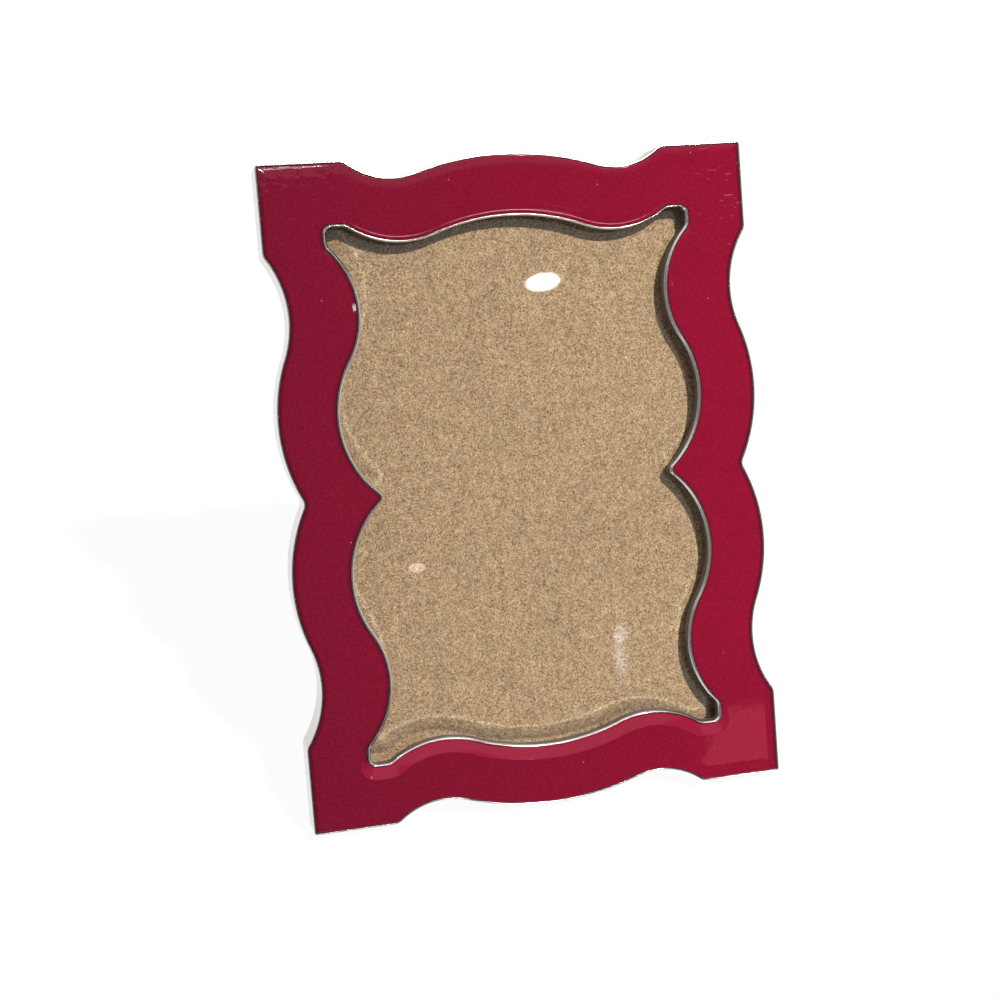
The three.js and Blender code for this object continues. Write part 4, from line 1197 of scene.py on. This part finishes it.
def bright_sides(n, direction):
    x, y, z = n.split(direction, "ShaderNodeSeparateXYZ")
    west = n.math("MULTIPLY", n.smooth(x, *ROOM["near_west"]), n.smooth(x, *ROOM["far_west"]))
    heights = n.math("MAXIMUM", n.smooth(z, *ROOM["upper"]), n.smooth(z, *ROOM["zenith"]))
    sides = n.math("MAXIMUM", heights, n.smooth(x, *ROOM["east"]), west)
    return sides, n.smooth(y, *ROOM["behind"])


def rosy_patch(n, across, along):
    slanted = n.math("ADD", across, n.math("MULTIPLY", along, PATCH_SLANT))
    left, right = n.smooth(slanted, *PATCH_LEFT, 0.0, 1.0), n.smooth(across, *PATCH_RIGHT, 1.0, 0.0)
    low, high = n.smooth(along, *PATCH_LOW, 0.0, 1.0), n.smooth(along, *PATCH_HIGH, 1.0, 0.0)
    return n.math("MULTIPLY", left, right, low, high, PATCH_LEVEL)


def world():
    sky = bpy.data.worlds.new("studio")
    scene.world = sky
    sky.use_nodes = True
    n = Nodes(sky.node_tree)
    ways = n.add("ShaderNodeLightPath").outputs
    direction = n.add("ShaderNodeTexCoord").outputs["Generated"]
    x, y, z = n.split(n.turned(direction), "ShaderNodeSeparateXYZ")
    across = n.math("DIVIDE", x, z)
    along = n.math("DIVIDE", y, z)
    sides, behind = bright_sides(n, direction)
    room = n.math("MAXIMUM", n.math("ADD", sides, key_glow(n, direction, along)), behind)
    glossy = n.math("MULTIPLY", ways["Is Glossy Ray"], room)
    soft = n.math("MULTIPLY", ways["Is Diffuse Ray"], ROOM_SOFT)
    white = n.add("ShaderNodeBackground", Color=(*WHITE, 1))
    level = n.math("MAXIMUM", ways["Is Camera Ray"], ways["Is Transmission Ray"], glossy, soft)
    n.link(level, white.inputs["Strength"])
    rosy = n.add("ShaderNodeBackground", Color=(*ROSY, 1))
    patch = n.math("MULTIPLY", ways["Is Glossy Ray"], rosy_patch(n, across, along))
    n.link(patch, rosy.inputs["Strength"])
    both = n.add("ShaderNodeAddShader")
    n.link(white.outputs[0], both.inputs[0])
    n.link(rosy.outputs[0], both.inputs[1])
    out = n.add("ShaderNodeOutputWorld")
    n.link(both.outputs[0], out.inputs["Surface"])


def lamp(name, kind, towards, target, energy, size):
    data = bpy.data.lights.new(name, kind)
    data.energy = energy
    if kind == "SUN":
        data.angle = size
    else:
        data.shape = "ELLIPSE"
        data.size, data.size_y = size
    obj = bpy.data.objects.new(name, data)
    scene.collection.objects.link(obj)
    obj.location = Vector(target) + towards * LAMP_DISTANCE
    obj.rotation_euler = towards.to_track_quat("Z", "Y").to_euler()
    obj.visible_camera = False
    return obj


def camera():
    data = bpy.data.cameras.new("camera")
    data.lens = CAMERA_LENS
    data.sensor_width = CAMERA_SENSOR
    data.sensor_fit = "HORIZONTAL"
    data.clip_start = 0.01
    obj = bpy.data.objects.new("camera", data)
    scene.collection.objects.link(obj)
    axes = Matrix((Vector(CAMERA_RIGHT), Vector(CAMERA_UP), -Vector(CAMERA_AHEAD)))
    obj.matrix_world = Matrix.Translation(CAMERA_PLACE) @ axes.transposed().to_4x4()
    scene.camera = obj


def reflected(name, place, towards, radiance, size, tint):
    spot = to_world([(*place, GLASS_FRONT)])[0]
    area = math.pi / 4 * size[0] * size[1]
    made = lamp(name, "AREA", frame_direction(*towards), spot, radiance * math.pi * area, size)
    made.data.color = tint


floor()
world()
lamp("key", "SUN", frame_direction(*KEY), KEY_TARGET, KEY_ENERGY, KEY_ANGLE)
for name, values in LAMPS.items():
    reflected(name, *values)
camera()
